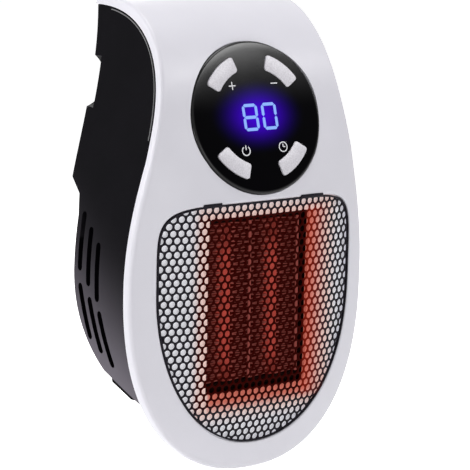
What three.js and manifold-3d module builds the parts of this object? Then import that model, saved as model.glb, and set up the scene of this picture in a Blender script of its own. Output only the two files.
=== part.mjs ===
// Plug-in fan heater with a swivelling wall plug.
// Units are millimetres and +Z is up. The wall is the plane y = 0 and the room lies towards -Y.
// The origin is the centre of the plug disc's wall face, between its two blades.

import * as THREE from 'three';
import { mergeVertices } from 'three/addons/utils/BufferGeometryUtils.js';
import Module from 'manifold-3d';

const wasm = await Module();
wasm.setup();

// Driving dimensions of the wall plug
const discRadius = 28;
const discFlange = 1.1;
const discFlangeWidth = 2;
const retainerGrip = 6.3;
const discBodyRadius = discRadius - discFlangeWidth;
const discNeckRadius = discBodyRadius - retainerGrip;
const discDepth = 6;
const bladeSpacing = 12.7;
const bladeWidth = 6.35;
const bladeThickness = 1.5;
const bladeReach = 17;
const bladeRoot = 10;

// Driving dimensions of the body, seen from the front: an egg with a flat top
const bodyHalfWidth = 59.8;
const topHalfWidth = 41.2;
const topMargin = 3.5;
const topZ = discRadius + topMargin;
const widestZ = -83;
const chinZ = -164;
const chinPower = 2.3;

// Driving dimensions of the seam between the white front shell and the black rear cover, seen from the side
const shoulderZ = -29;
const seamDepth = 54.7;
const hoodPower = 2.65;
const chinDraw = 3.9;
const drawPower = 4;

// Driving dimensions of the front face, measured outward from the seam
const rimHeight = 4.4;
const headCrown = 0.6;
const bodyCrown = 10.3;
const crownPower = 3.2;
const crownTopZ = -8;
const crownLowZ = -49;
const chinSwell = 2.8;
const swellTopZ = -88;
const swellPower = 1.2;

// Walls, clearances and the overrun of every cutting tool
const wall = 2.2;
const gap = 0.3;
const overrun = 2;

// Driving dimensions of the rear cover, seen from the side
const wallFaceLowZ = -41.5;
const stepDepth = 8.3;
const stepZ = -47.5;
const standoff = 10.4;
const standoffZ = -56;
const heelRadiusShare = 0.69;
const heelRadius = heelRadiusShare * (widestZ - chinZ);
const undersideSet = 31.2;
const undersideY = -seamDepth + undersideSet;
const undersideShare = 0.41;
const undersideZ = widestZ + undersideShare * (chinZ - widestZ);
const undersideAngle = THREE.MathUtils.degToRad(21.5);
const undersideArchShare = 0.173;
const undersideArch = undersideArchShare * (widestZ - chinZ);
const sideDraft = 1.2;

// Driving dimensions of the control panel
const panelRadius = 32.2;
const panelStandout = 5.3;
const panelY = -seamDepth - panelStandout;
const panelZ = -12.9;
const panelTilt = THREE.MathUtils.degToRad(16);
const panelDome = 1;
const panelSkin = 2.2;
const panelLip = 3.2;
const skirtInset = 1.2;
const skirtWall = 1.6;
const skirtDepth = 8;
const buttonMargin = 5;
const buttonWidth = 6.7;
const buttonOuterRadius = panelRadius - buttonMargin;
const buttonInnerRadius = buttonOuterRadius - buttonWidth;
const buttonCentre = THREE.MathUtils.degToRad(52);
const buttonHalfSpan = THREE.MathUtils.degToRad(19);
const buttonTravel = 0.5;

// Driving dimensions of the grille opening and of the honeycomb in it
const grilleSideRim = 10.5;
const grilleTopRim = 1.9;
const grilleBottomRim = 12.5;
const grilleHalfWidth = bodyHalfWidth - grilleSideRim;
const grilleMidZ = widestZ;
const grilleTopZ = panelZ - panelRadius - grilleTopRim;
const grilleBottomZ = chinZ + grilleBottomRim;
const grilleTopPower = 6;
const grilleBottomPower = 2.1;
const grilleFrameWidth = 1.4;
const netPitch = 7.3;
const netHole = 5.7;
const netThickness = 0.9;
const netRecess = 0.6;

// Driving dimensions of the heating core
const coreHalfWidth = 25.5;
const coreTopMargin = 6.4;
const coreFootShare = 0.56;
const coreStandout = 1.8;
const coreTopZ = grilleTopZ - coreTopMargin;
const coreBottomZ = widestZ + coreFootShare * (chinZ - widestZ);
const coreFrontY = -seamDepth - coreStandout;
const coreDepth = 8.2;
const ductWall = 1.2;
const ductEndY = coreFrontY + coreDepth + gap;

// Driving dimensions of the fan, with its depths as shares of the space between the core and the back wall
const fanLift = 7;
const fanZ = (coreTopZ + coreBottomZ) / 2 + fanLift;
const heelLift = 4;
const heelZ = fanZ + heelLift;
const fanRadius = 26;
const fanTubeWall = 2;
const fanTip = 1;
const fanSpace = -standoff - wall - ductEndY;
const fanPlateShare = 0.24;
const hubFrontShare = 0.3;
const hubRearShare = 0.54;
const motorFrontShare = 0.6;
const fanTubeEndShare = 0.64;
const motorRearShare = 0.91;
const fanPlateY = ductEndY + fanPlateShare * fanSpace;
const hubFrontY = ductEndY + hubFrontShare * fanSpace;
const hubRearY = ductEndY + hubRearShare * fanSpace;
const motorFrontY = ductEndY + motorFrontShare * fanSpace;
const fanTubeEndY = ductEndY + fanTubeEndShare * fanSpace;
const motorRearY = ductEndY + motorRearShare * fanSpace;

// Counts of steps along curves
const hoodSteps = 8;
const faceSteps = 13;
const roundSides = 24;
const smallSides = 8;

const quarterTurn = Math.PI / 2;

// Materials, with the colours of the photographed heater
function paint(color, roughness, metalness = 0) {
  return new THREE.MeshStandardMaterial({ color, roughness, metalness });
}

const materials = {
  shellWhite: paint(0xe4e3ea, 0.35),
  coverBlack: paint(0x151519, 0.45),
  panelBlack: paint(0x07070a, 0.12),
  buttonSilver: paint(0xd9d8df, 0.4),
  meshBlack: paint(0x1c1b20, 0.4, 0.6),
  reflectorWhite: paint(0xece6e2, 0.4),
  heaterRed: paint(0xa02015, 0.6),
  finMetal: paint(0x7d4038, 0.4, 0.7),
  heatPlastic: paint(0x2a1a18, 0.6),
  fanPlastic: paint(0x22232a, 0.5),
  steel: paint(0xb4b6ba, 0.3, 1),
  brass: paint(0xc8a860, 0.3, 1),
  boardGreen: paint(0x1f5a35, 0.6),
  partBlue: paint(0x2d4d8c, 0.5),
  displaySmoke: paint(0x10142c, 0.3),
  leadRed: paint(0x9c2a22, 0.55),
};

// Turns a closed geometry into a solid that can be joined and cut
function toSolid(geometry) {
  const bare = geometry.clone();
  bare.deleteAttribute('normal');
  bare.deleteAttribute('uv');
  const merged = mergeVertices(bare);
  const vertProperties = new Float32Array(merged.attributes.position.array);
  const triVerts = new Uint32Array(merged.index.array);
  return new wasm.Manifold(new wasm.Mesh({ numProp: 3, vertProperties, triVerts }));
}

function toGeometry(solid) {
  const mesh = solid.getMesh();
  const positions = new Float32Array(mesh.numVert * 3);
  for (let vertex = 0; vertex < mesh.numVert; vertex += 1) {
    for (let axis = 0; axis < 3; axis += 1) {
      positions[vertex * 3 + axis] = mesh.vertProperties[vertex * mesh.numProp + axis];
    }
  }
  const geometry = new THREE.BufferGeometry();
  geometry.setAttribute('position', new THREE.BufferAttribute(positions, 3));
  geometry.setIndex(new THREE.BufferAttribute(new Uint32Array(mesh.triVerts), 1));
  geometry.computeVertexNormals();
  return geometry;
}

function combine(operation, first, rest) {
  let solid = toSolid(first);
  for (const geometry of rest) {
    solid = solid[operation](toSolid(geometry));
  }
  return toGeometry(solid);
}

const join = (first, ...rest) => combine('add', first, rest);
const cut = (first, ...rest) => combine('subtract', first, rest);
const common = (first, ...rest) => combine('intersect', first, rest);

// A block between two corners
function block(lowX, highX, lowY, highY, lowZ, highZ) {
  const geometry = new THREE.BoxGeometry(highX - lowX, highY - lowY, highZ - lowZ);
  return geometry.translate((lowX + highX) / 2, (lowY + highY) / 2, (lowZ + highZ) / 2);
}

// A round bar along Y between two depths
function barY(radius, lowY, highY, x = 0, z = 0, sides = smallSides) {
  const geometry = new THREE.CylinderGeometry(radius, radius, highY - lowY, sides);
  return geometry.translate(x, (lowY + highY) / 2, z);
}

// A shape drawn in x and z, pushed through from one depth to another
function prismY(shape, lowY, highY) {
  const geometry = new THREE.ExtrudeGeometry(shape, { depth: highY - lowY, bevelEnabled: false });
  return geometry.rotateX(quarterTurn).translate(0, highY, 0);
}

// A shape drawn in y and z, pushed through from -halfWidth to +halfWidth
function prismX(shape, halfWidth) {
  const geometry = new THREE.ExtrudeGeometry(shape, { depth: 2 * halfWidth, bevelEnabled: false });
  const turned = new THREE.Matrix4().makeBasis(
    new THREE.Vector3(0, 1, 0),
    new THREE.Vector3(0, 0, 1),
    new THREE.Vector3(1, 0, 0),
  );
  return geometry.applyMatrix4(turned).translate(-halfWidth, 0, 0);
}

// A solid through rings of points, closed by a fan at each end
function loft(rings) {
  const count = rings[0].length;
  const positions = rings.flat().flatMap((point) => [point.x, point.y, point.z]);
  const index = [];
  for (let ring = 0; ring < rings.length - 1; ring += 1) {
    for (let side = 0; side < count; side += 1) {
      const next = (side + 1) % count;
      const a = ring * count + side;
      const b = ring * count + next;
      index.push(a, b, a + count, b, b + count, a + count);
    }
  }
  for (const ring of [0, rings.length - 1]) {
    const middle = positions.length / 3;
    const centre = new THREE.Vector3();
    rings[ring].forEach((point) => centre.addScaledVector(point, 1 / count));
    positions.push(centre.x, centre.y, centre.z);
    for (let side = 0; side < count; side += 1) {
      const a = ring * count + side;
      const b = ring * count + ((side + 1) % count);
      index.push(...(ring === 0 ? [middle, b, a] : [middle, a, b]));
    }
  }
  const geometry = new THREE.BufferGeometry();
  geometry.setAttribute('position', new THREE.BufferAttribute(new Float32Array(positions), 3));
  geometry.setIndex(volumeOf(positions, index) < 0 ? index.reverse() : index);
  return geometry;
}

function volumeOf(positions, index) {
  const corner = (entry) => new THREE.Vector3().fromArray(positions, index[entry] * 3);
  let volume = 0;
  for (let entry = 0; entry < index.length; entry += 3) {
    volume += corner(entry).dot(corner(entry + 1).cross(corner(entry + 2)));
  }
  return volume;
}

function addPiece(parent, name, geometry, material) {
  const mesh = new THREE.Mesh(geometry, material);
  mesh.name = name;
  parent.add(mesh);
}

// Half the body's width at a height, for the outline moved inward by inset
function halfWidth(z, inset = 0) {
  if (z >= widestZ) {
    const rise = Math.min(1, (z - widestZ) / (topZ - widestZ));
    const spread = (bodyHalfWidth - topHalfWidth) * Math.cos(quarterTurn * rise) ** 2;
    return topHalfWidth + spread - inset;
  }
  const drop = Math.min(1, (widestZ - z) / (widestZ - chinZ - inset));
  return (bodyHalfWidth - inset) * (1 - drop ** chinPower) ** (1 / chinPower);
}

// The seam's depth at a height below the shoulder
function lowerSeamY(z) {
  const fall = (shoulderZ - z) / (shoulderZ - chinZ);
  return -seamDepth + chinDraw * (1 - Math.max(0, 1 - fall) ** drawPower);
}

// A point of the seam: stages 0 to 1 run over the hood and stages 1 to 2 go down to the chin
function seamPoint(stage, inset = 0) {
  if (stage <= 1) {
    const turn = stage * quarterTurn;
    const y = -seamDepth * Math.sin(turn) ** (2 / hoodPower);
    const z = shoulderZ + (topZ - shoulderZ) * Math.cos(turn) ** (2 / hoodPower);
    return new THREE.Vector3(0, y, z);
  }
  const fall = Math.sin((stage - 1) * quarterTurn);
  const z = shoulderZ - (shoulderZ - chinZ - inset) * fall;
  return new THREE.Vector3(0, lowerSeamY(z), z);
}

// The direction out of the body at a seam stage, square to the seam
function seamNormal(stage) {
  const stageStep = 0.01;
  const before = seamPoint(Math.max(0, stage - stageStep));
  const after = seamPoint(Math.min(2, stage + stageStep));
  const along = after.sub(before).normalize();
  return new THREE.Vector3(0, along.z, -along.y);
}

// The stage at which the seam below the shoulder reaches a height
function stageAt(z) {
  return 1 + Math.asin((shoulderZ - z) / (shoulderZ - chinZ)) / quarterTurn;
}

// How far a point lies from the middle of the face: 0 there and 1 on the outline
function outlineShare(x, z) {
  if (z >= widestZ) {
    return Math.min(1, Math.abs(x) / halfWidth(z));
  }
  const across = (Math.abs(x) / bodyHalfWidth) ** chinPower;
  const down = ((widestZ - z) / (widestZ - chinZ)) ** chinPower;
  return Math.min(1, (across + down) ** (1 / chinPower));
}

// The height of the rim above the seam, which grows towards the chin
function rimAt(z) {
  const lowered = THREE.MathUtils.clamp((swellTopZ - z) / (swellTopZ - chinZ), 0, 1);
  return rimHeight + chinSwell * lowered ** swellPower;
}

// The height of the front face above the seam
function faceHeight(x, z) {
  const lowered = THREE.MathUtils.smoothstep(crownTopZ - z, 0, crownTopZ - crownLowZ);
  const crown = headCrown + (bodyCrown - headCrown) * lowered;
  return rimAt(z) + crown * (1 - outlineShare(x, z) ** crownPower);
}

// The depth of the front face below the shoulder
function faceY(x, z) {
  return lowerSeamY(z) - faceHeight(x, z);
}

// The solid between the seam and the front face: inset moves its side wall in, drop its face
function faceSolid({ inset = 0, drop = 0, back = 0, firstStage = 0 }) {
  const rimCorner = 1;
  const chinSteps = 13;
  const tipShare = 0.02;
  const stages = [firstStage];
  for (let step = 1; step < hoodSteps; step += 1) {
    if (step / hoodSteps > firstStage) {
      stages.push(step / hoodSteps);
    }
  }
  for (let step = firstStage < 1 ? 0 : 1; step < chinSteps; step += 1) {
    stages.push(1 + step / chinSteps);
  }
  stages.push(2 - tipShare);
  const rings = stages.map((stage) => {
    const base = seamPoint(stage, inset);
    const normal = seamNormal(stage);
    const half = halfWidth(base.z, inset);
    const corner = Math.min(rimCorner, half / 2);
    const low = rimAt(base.z) - rimCorner - drop;
    const section = [[-half, -back], [-half, low]];
    for (let step = 0; step <= faceSteps; step += 1) {
      const x = -(half - corner) * Math.cos((step / faceSteps) * Math.PI);
      section.push([x, faceHeight(x, base.z) - drop]);
    }
    section.push([half, low], [half, -back]);
    return section.map(([x, height]) => {
      const point = base.clone().addScaledVector(normal, height);
      return point.setX(x);
    });
  });
  return loft(rings);
}

// Places a geometry drawn on the panel, whose local -Y is its front, on the body
function ontoPanel(geometry) {
  return geometry.rotateX(-panelTilt).translate(0, panelY, panelZ);
}

// The grille opening's outline, moved inward by inset
function grilleOutline(inset = 0) {
  const outlineSteps = 14;
  const half = grilleHalfWidth - inset;
  const rise = grilleTopZ - grilleMidZ - inset;
  const fall = grilleMidZ - grilleBottomZ - inset;
  const points = [];
  for (let step = 0; step < 4 * outlineSteps; step += 1) {
    const turn = (step / outlineSteps) * quarterTurn;
    const upper = Math.sin(turn) >= 0;
    const power = 2 / (upper ? grilleTopPower : grilleBottomPower);
    const x = half * Math.sign(Math.cos(turn)) * Math.abs(Math.cos(turn)) ** power;
    const z = (upper ? rise : -fall) * Math.abs(Math.sin(turn)) ** power;
    points.push(new THREE.Vector2(x, grilleMidZ + z));
  }
  return points;
}

function insideGrille(x, z, inset) {
  const power = z > grilleMidZ ? grilleTopPower : grilleBottomPower;
  const reach = z > grilleMidZ ? grilleTopZ - grilleMidZ : grilleMidZ - grilleBottomZ;
  const across = Math.abs(x) / (grilleHalfWidth - inset);
  const along = Math.abs(z - grilleMidZ) / (reach - inset);
  return across ** power + along ** power < 1;
}

// A plate of a shape in x and z, bent to lie behind the front face by a set depth
function bentPlate(shape, behind, thickness) {
  const geometry = prismY(shape, 0, thickness);
  const position = geometry.attributes.position;
  for (let vertex = 0; vertex < position.count; vertex += 1) {
    const y = faceY(position.getX(vertex), position.getZ(vertex));
    position.setY(vertex, position.getY(vertex) + y + behind);
  }
  return geometry;
}

// Places of the four cover screws: two long ones at the top and two short ones in the chin
const bossRadius = 3.6;
const topScrewZ = 18;
const topScrewX = halfWidth(topScrewZ) - sideDraft - wall - gap - bossRadius;
const chinScrewShare = 0.775;
const chinScrewRiseShare = 0.18;
const chinScrewZ = chinZ + chinScrewRiseShare * (widestZ - chinZ);
const chinScrewX = chinScrewShare * halfWidth(chinScrewZ);
const screwShank = 1.4;
const screwHead = 2.8;
const screwHeadDepth = 1.8;
const chinBossRadius = 2.9;
const bossMeetY = -26;
const chinBossHeight = 1.5;
const chinPlateBack = 1.2;
const topScrewGrip = 10;
const topScrewSink = 1;
const chinScrewLength = 4.2;

// White front shell: hood, rim and crowned face, with its panel seat, grille opening and bosses
function frontShell() {
  const lipStage = Math.asin((wall / seamDepth) ** (hoodPower / 2)) / quarterTurn;
  const cavity = faceSolid({ inset: wall, drop: wall, back: overrun, firstStage: lipStage });
  const hollow = cut(faceSolid({}), cavity);
  const outer = faceSolid({ back: seamDepth + bossMeetY });
  const bosses = [];
  for (const side of [-1, 1]) {
    const top = barY(bossRadius, panelY, bossMeetY - gap, side * topScrewX, topScrewZ);
    const chinBossY = lowerSeamY(chinScrewZ) - chinBossHeight;
    const chin = barY(chinBossRadius, 2 * panelY, chinBossY, side * chinScrewX, chinScrewZ);
    bosses.push(common(top, outer), common(chin, faceSolid({})));
  }
  const shaftHole = screwShank + gap;
  const topHoleEnd = bossMeetY - topScrewGrip - gap;
  const chinHoleEnd = lowerSeamY(chinScrewZ) - chinScrewLength - gap;
  const holes = [-1, 1].flatMap((side) => [
    barY(shaftHole, topHoleEnd, bossMeetY + overrun, side * topScrewX, topScrewZ),
    barY(shaftHole, chinHoleEnd, 0, side * chinScrewX, chinScrewZ),
  ]);
  const seat = barY(panelRadius + gap, -seamDepth, panelLip + gap, 0, 0, 2 * roundSides);
  const seatHole = barY(panelRadius - skirtInset + gap, -seamDepth, seamDepth / 2, 0, 0, 2 * roundSides);
  const opening = prismY(new THREE.Shape(grilleOutline()), 2 * panelY, lowerSeamY(widestZ));
  return cut(join(hollow, ...bosses), ...holes, ontoPanel(seat), ontoPanel(seatHole), opening);
}

// The rear cover's outline from the front, narrower towards the wall by the side draft
function outlinePrism(inset) {
  const outlineSteps = 17;
  const shape = new THREE.Shape();
  const right = [];
  for (let step = 0; step <= outlineSteps; step += 1) {
    const fall = Math.sin((step / outlineSteps) * quarterTurn);
    const z = topZ - (topZ - chinZ - inset) * fall;
    right.push(new THREE.Vector2(halfWidth(z, inset), z));
  }
  const left = right.slice(0, -1).reverse().map((point) => new THREE.Vector2(-point.x, point.y));
  const crest = [left.at(-1), right[0]].map((point) => point.clone().setY(topZ + overrun));
  shape.setFromPoints([...right, ...left, ...crest]);
  const depth = 2 * seamDepth;
  const geometry = prismY(shape, -depth, overrun);
  const position = geometry.attributes.position;
  for (let vertex = 0; vertex < position.count; vertex += 1) {
    const share = 1 + position.getY(vertex) / seamDepth;
    const narrowed = 1 - (sideDraft / bodyHalfWidth) * Math.max(0, share);
    position.setX(vertex, position.getX(vertex) * narrowed);
  }
  return geometry;
}

// The rear cover's side view; a positive inset gives the hollow inside it, open along the seam
function sideProfile(inset) {
  const heelSteps = 8;
  const heelMargin = 0.6;
  const heelDepth = seamDepth - chinDraw - heelMargin - standoff;
  const heelTurn = Math.acos(1 - heelDepth / heelRadius);
  const rise = inset > 0 ? overrun : -gap;
  const points = [];
  const seamSteps = 20;
  const lastZ = undersideZ - 2 * undersideArch;
  const lastStage = stageAt(lastZ);
  for (let step = 0; step <= seamSteps; step += 1) {
    const stage = (step / seamSteps) * lastStage;
    const point = seamPoint(stage).addScaledVector(seamNormal(stage), rise);
    points.push(new THREE.Vector2(Math.min(point.y, -inset), point.z));
  }
  const radius = heelRadius - inset;
  points.push(new THREE.Vector2(-standoff - heelRadius + radius * Math.cos(heelTurn), lastZ));
  for (let step = heelSteps; step >= 0; step -= 1) {
    const turn = (step / heelSteps) * heelTurn;
    const y = -standoff - heelRadius + radius * Math.cos(turn);
    points.push(new THREE.Vector2(y, heelZ - radius * Math.sin(turn)));
  }
  points.push(new THREE.Vector2(-standoff - inset, standoffZ));
  points.push(new THREE.Vector2(-stepDepth - inset, stepZ));
  points.push(new THREE.Vector2(-inset, wallFaceLowZ + inset / 2));
  return new THREE.Shape(points);
}

// How far the arched underside drops below its straight side edges
function archDrop(x) {
  return undersideArch * (1 - (x / bodyHalfWidth) ** 2);
}

// The space above the rear cover's slanted and arched underside, raised by inset
function aboveUnderside(inset) {
  const archSteps = 12;
  const reach = 2 * seamDepth;
  const thickness = 2 * (topZ - chinZ);
  const lower = [];
  for (let step = 0; step <= archSteps; step += 1) {
    const x = (2 * step / archSteps - 1) * (bodyHalfWidth + overrun);
    lower.push(new THREE.Vector2(x, inset - archDrop(x)));
  }
  const upper = lower.slice().reverse().map((point) => point.clone().setY(point.y + thickness));
  const shape = new THREE.Shape([...lower, ...upper]);
  const geometry = new THREE.ExtrudeGeometry(shape, { depth: 2 * reach, bevelEnabled: false });
  return slanted(geometry.translate(0, 0, -reach));
}

// Turns a geometry so that its Z runs forward and down along the underside
function slanted(geometry) {
  const sine = Math.sin(undersideAngle);
  const cosine = Math.cos(undersideAngle);
  const turned = new THREE.Matrix4().makeBasis(
    new THREE.Vector3(1, 0, 0),
    new THREE.Vector3(0, -sine, cosine),
    new THREE.Vector3(0, -cosine, -sine),
  );
  return geometry.applyMatrix4(turned).translate(0, undersideY, undersideZ);
}

// A plate along the seam behind the chin, inside the white rim
function chinPlate() {
  const plateFront = 0.9;
  const plateSteps = 8;
  const tipShare = 0.03;
  const plateInset = wall + gap;
  const firstStage = stageAt(undersideZ);
  const rings = [];
  for (let step = 0; step <= plateSteps; step += 1) {
    const stage = firstStage + (2 - tipShare - firstStage) * (step / plateSteps);
    const base = seamPoint(stage, plateInset);
    const half = halfWidth(base.z, plateInset);
    const rear = [[-half, chinPlateBack], [half, chinPlateBack]];
    const front = [[half, -plateFront], [-half, -plateFront]];
    rings.push([...rear, ...front].map(([x, behind]) => new THREE.Vector3(x, base.y + behind, base.z)));
  }
  return cut(loft(rings), aboveUnderside(wall));
}

// Grip notches on both sides of the rear cover, level with the plug
const notchTall = 21.2;
const notchDeep = 5.4;
const notchScoop = 6;

function notchPieces(side, outer) {
  const edge = halfWidth(0) - sideDraft;
  const linerEnds = [side * (edge + overrun), side * (edge - notchScoop - wall)];
  const liner = block(
    Math.min(...linerEnds),
    Math.max(...linerEnds),
    -notchDeep - wall,
    0,
    -notchTall / 2 - wall,
    notchTall / 2 + wall,
  );
  const radius = ((notchTall / 2) ** 2 + notchScoop ** 2) / (2 * notchScoop);
  const centre = side * (edge - notchScoop + radius);
  const scoop = barY(radius, -notchDeep, overrun, centre, 0, roundSides);
  return { liner: common(liner, outer), scoop };
}

// Louvre slots through both side walls: three upright ones and three leaning ones below them
const upperSlotSet = 4.9;
const lowerSlotSet = 8.1;
const upperSlotY = -standoff - upperSlotSet;
const upperSlotZ = -66.6;
const upperSlotLength = 25.2;
const upperSlotStepY = 7.1;
const upperSlotStepZ = 5.5;
const lowerSlotY = -standoff - lowerSlotSet;
const lowerSlotZ = -96.1;
const lowerSlotLength = 24.3;
const lowerSlotStepY = 7.65;
const lowerSlotStepZ = 4.75;
const lowerSlotLean = THREE.MathUtils.degToRad(15);

function sideSlots() {
  const slotWidth = 3.6;
  const slotEndSteps = 3;
  const slotReach = 8;
  const rows = [
    {
      y: upperSlotY,
      z: upperSlotZ,
      length: upperSlotLength,
      stepY: upperSlotStepY,
      stepZ: upperSlotStepZ,
      lean: 0,
    },
    {
      y: lowerSlotY,
      z: lowerSlotZ,
      length: lowerSlotLength,
      stepY: lowerSlotStepY,
      stepZ: lowerSlotStepZ,
      lean: lowerSlotLean,
    },
  ];
  const slots = [];
  for (const row of rows) {
    for (let column = 0; column < 3; column += 1) {
      const straight = row.length / 2 - slotWidth / 2;
      const shape = new THREE.Shape();
      shape.absarc(0, straight, slotWidth / 2, 0, Math.PI, false);
      shape.absarc(0, -straight, slotWidth / 2, Math.PI, 2 * Math.PI, false);
      const outline = new THREE.Shape(shape.getPoints(slotEndSteps));
      const y = row.y - column * row.stepY;
      const z = row.z - column * row.stepZ;
      const x = halfWidth(z) - slotReach / 2;
      for (const side of [-1, 1]) {
        slots.push(prismX(outline, slotReach).rotateX(-row.lean).translate(side * x, y, z));
      }
    }
  }
  return slots;
}

// Upright intake slots in the rear wall behind the fan
function intakeSlots() {
  const slotWidth = 2.8;
  const slotPitch = 6;
  const slotCount = 8;
  const slots = [];
  for (let slot = 0; slot < slotCount; slot += 1) {
    const x = (slot - (slotCount - 1) / 2) * slotPitch;
    const half = Math.sqrt(fanRadius ** 2 - x ** 2);
    const lowX = x - slotWidth / 2;
    slots.push(block(lowX, lowX + slotWidth, -standoff - heelRadius / 4, 0, fanZ - half, fanZ + half));
  }
  return slots;
}

// Main rocker switch in the right side wall
const rockerZ = -28;
const rockerY = -28;
const rockerTall = 14.4;
const rockerWide = 9.6;
const rockerDeep = 10;
const rockerFlange = 1.4;
const rockerFlangeHeight = 1.6;
const rockerWall = 1.2;
const rockerTilt = THREE.MathUtils.degToRad(8);
const rockerSeat = 0.5;

// Places a geometry drawn with its outside along +X on the right side wall at the rocker
function ontoRockerSeat(geometry) {
  const above = halfWidth(rockerZ + rockerTall / 2);
  const below = halfWidth(rockerZ - rockerTall / 2);
  const lean = Math.atan2(below - above, rockerTall);
  const seatX = (above + below) / 2 - sideDraft / 2 + rockerSeat;
  return geometry.rotateY(-lean).translate(seatX, rockerY, rockerZ);
}

function rockerFrame() {
  const tall = rockerTall / 2;
  const wide = rockerWide / 2;
  const flangeWide = wide + rockerFlange;
  const flangeTall = tall + rockerFlange;
  const flange = block(0, rockerFlangeHeight, -flangeWide, flangeWide, -flangeTall, flangeTall);
  const body = block(-rockerDeep, rockerFlangeHeight / 2, -wide, wide, -tall, tall);
  const well = block(
    -rockerDeep / 2,
    rockerFlangeHeight + overrun,
    -wide + rockerWall,
    wide - rockerWall,
    -tall + rockerWall,
    tall - rockerWall,
  );
  return cut(join(flange, body), well);
}

function rockerPaddle() {
  const half = rockerTall / 2 - rockerWall - gap;
  const wide = rockerWide / 2 - rockerWall - gap;
  const peak = rockerFlangeHeight + half * Math.sin(rockerTilt) / 2;
  const keel = 3;
  const shape = new THREE.Shape([
    new THREE.Vector2(peak, half * Math.cos(rockerTilt)),
    new THREE.Vector2(-keel / 2, half * Math.cos(rockerTilt)),
    new THREE.Vector2(-keel, 0),
    new THREE.Vector2(-keel / 2, -half * Math.cos(rockerTilt)),
    new THREE.Vector2(peak, -half * Math.cos(rockerTilt)),
    new THREE.Vector2(rockerFlangeHeight / 2, 0),
  ]);
  return prismY(shape, -wide, wide).rotateY(rockerTilt);
}

// The power board, the fan's mounting plate and the posts for both on the rear cover's back wall
const fanPlateSide = 10;
const fanPlateHead = 3;
const fanPlateFoot = 1;
const fanPlateHalfWidth = fanRadius + fanPlateSide;
const fanPlateRise = fanRadius + fanPlateHead;
const fanPlateFall = fanRadius + fanPlateFoot;
const fanPlateThickness = 1.8;
const fanScrewGrip = 4;
const fanScrewTipY = fanPlateY + fanPlateThickness + gap + fanScrewGrip;
const boardY = -26;
const boardSideGap = 2.3;
const boardLift = 11;
const boardHalfWidth = halfWidth(rockerZ) - rockerDeep - boardSideGap;
const boardTopZ = -5;
const boardLowZ = fanZ + fanPlateRise + boardLift;
const boardThickness = 1.6;
const postRadius = 2.6;
const postMargin = 0.4;
const postInset = postRadius + postMargin;

// Four places, postInset in from the corners of a plate
function cornerPlaces(plateHalfWidth, plateTopZ, plateLowZ) {
  const x = plateHalfWidth - postInset;
  const heights = [plateTopZ - postInset, plateLowZ + postInset];
  return [-x, x].flatMap((placeX) => heights.map((z) => ({ x: placeX, z })));
}

function boardPostPlaces() {
  return cornerPlaces(boardHalfWidth, boardTopZ, boardLowZ);
}

function fanPostPlaces() {
  return cornerPlaces(fanPlateHalfWidth, fanZ + fanPlateRise, fanZ - fanPlateFall);
}

// Black rear cover: side walls, back wall, heel and chin plate, with its plug hole and louvres
function rearCover() {
  const sides = prismX(sideProfile(0), bodyHalfWidth + overrun);
  const outer = common(sides, outlinePrism(0), aboveUnderside(0));
  const innerSides = prismX(sideProfile(wall), bodyHalfWidth);
  const hollow = common(innerSides, outlinePrism(wall), aboveUnderside(wall));
  const posts = [];
  for (const { x, z } of boardPostPlaces()) {
    posts.push(common(barY(postRadius, boardY + gap, overrun, x, z), outer));
  }
  const fanPostY = fanPlateY + fanPlateThickness + gap;
  for (const { x, z } of fanPostPlaces()) {
    posts.push(common(barY(postRadius, fanPostY, overrun, x, z), outer));
  }
  for (const side of [-1, 1]) {
    posts.push(common(barY(bossRadius, bossMeetY, overrun, side * topScrewX, topScrewZ), outer));
  }
  const notches = [notchPieces(-1, outer), notchPieces(1, outer)];
  const plate = chinPlate();
  const joined = join(cut(outer, hollow), ...notches.map((notch) => notch.liner), ...posts, plate);
  const discHole = barY(discBodyRadius + gap, -wall - overrun, overrun, 0, 0, roundSides);
  const discSeat = barY(discRadius + gap, -discFlange - gap, overrun, 0, 0, roundSides);
  const screwTools = [-1, 1].flatMap((side) => [
    barY(screwShank + gap, bossMeetY - overrun, overrun, side * topScrewX, topScrewZ),
    barY(screwHead + gap, -screwHeadDepth - gap - topScrewSink, overrun, side * topScrewX, topScrewZ),
    barY(screwShank + gap, panelY, 0, side * chinScrewX, chinScrewZ),
  ]);
  const fanScrewHoles = fanPostPlaces().map(({ x, z }) => (
    barY(screwShank + gap, fanPlateY, fanScrewTipY + gap, x, z)
  ));
  const rockerHole = block(
    -rockerDeep,
    rockerDeep,
    -rockerWide / 2 - gap,
    rockerWide / 2 + gap,
    -rockerTall / 2 - gap,
    rockerTall / 2 + gap,
  );
  return cut(
    joined,
    ...notches.map((notch) => notch.scoop),
    discHole,
    discSeat,
    ...sideSlots(),
    ...intakeSlots(),
    ...screwTools,
    ...fanScrewHoles,
    ontoRockerSeat(rockerHole),
  );
}

// A screw along Y with its head towards the wall
function screw(headY, length, x, z, shank = screwShank, head = screwHead) {
  const headSolid = barY(head, headY - screwHeadDepth, headY, x, z);
  const shankSolid = barY(shank, headY - length, headY - screwHeadDepth / 2, x, z);
  const slotHalf = head / 2;
  const slotFloor = headY - screwHeadDepth / 3;
  const slot = block(-slotHalf, slotHalf, slotFloor, headY + overrun, -slotHalf / 4, slotHalf / 4);
  return cut(join(headSolid, shankSolid), slot.translate(x, 0, z));
}

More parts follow.
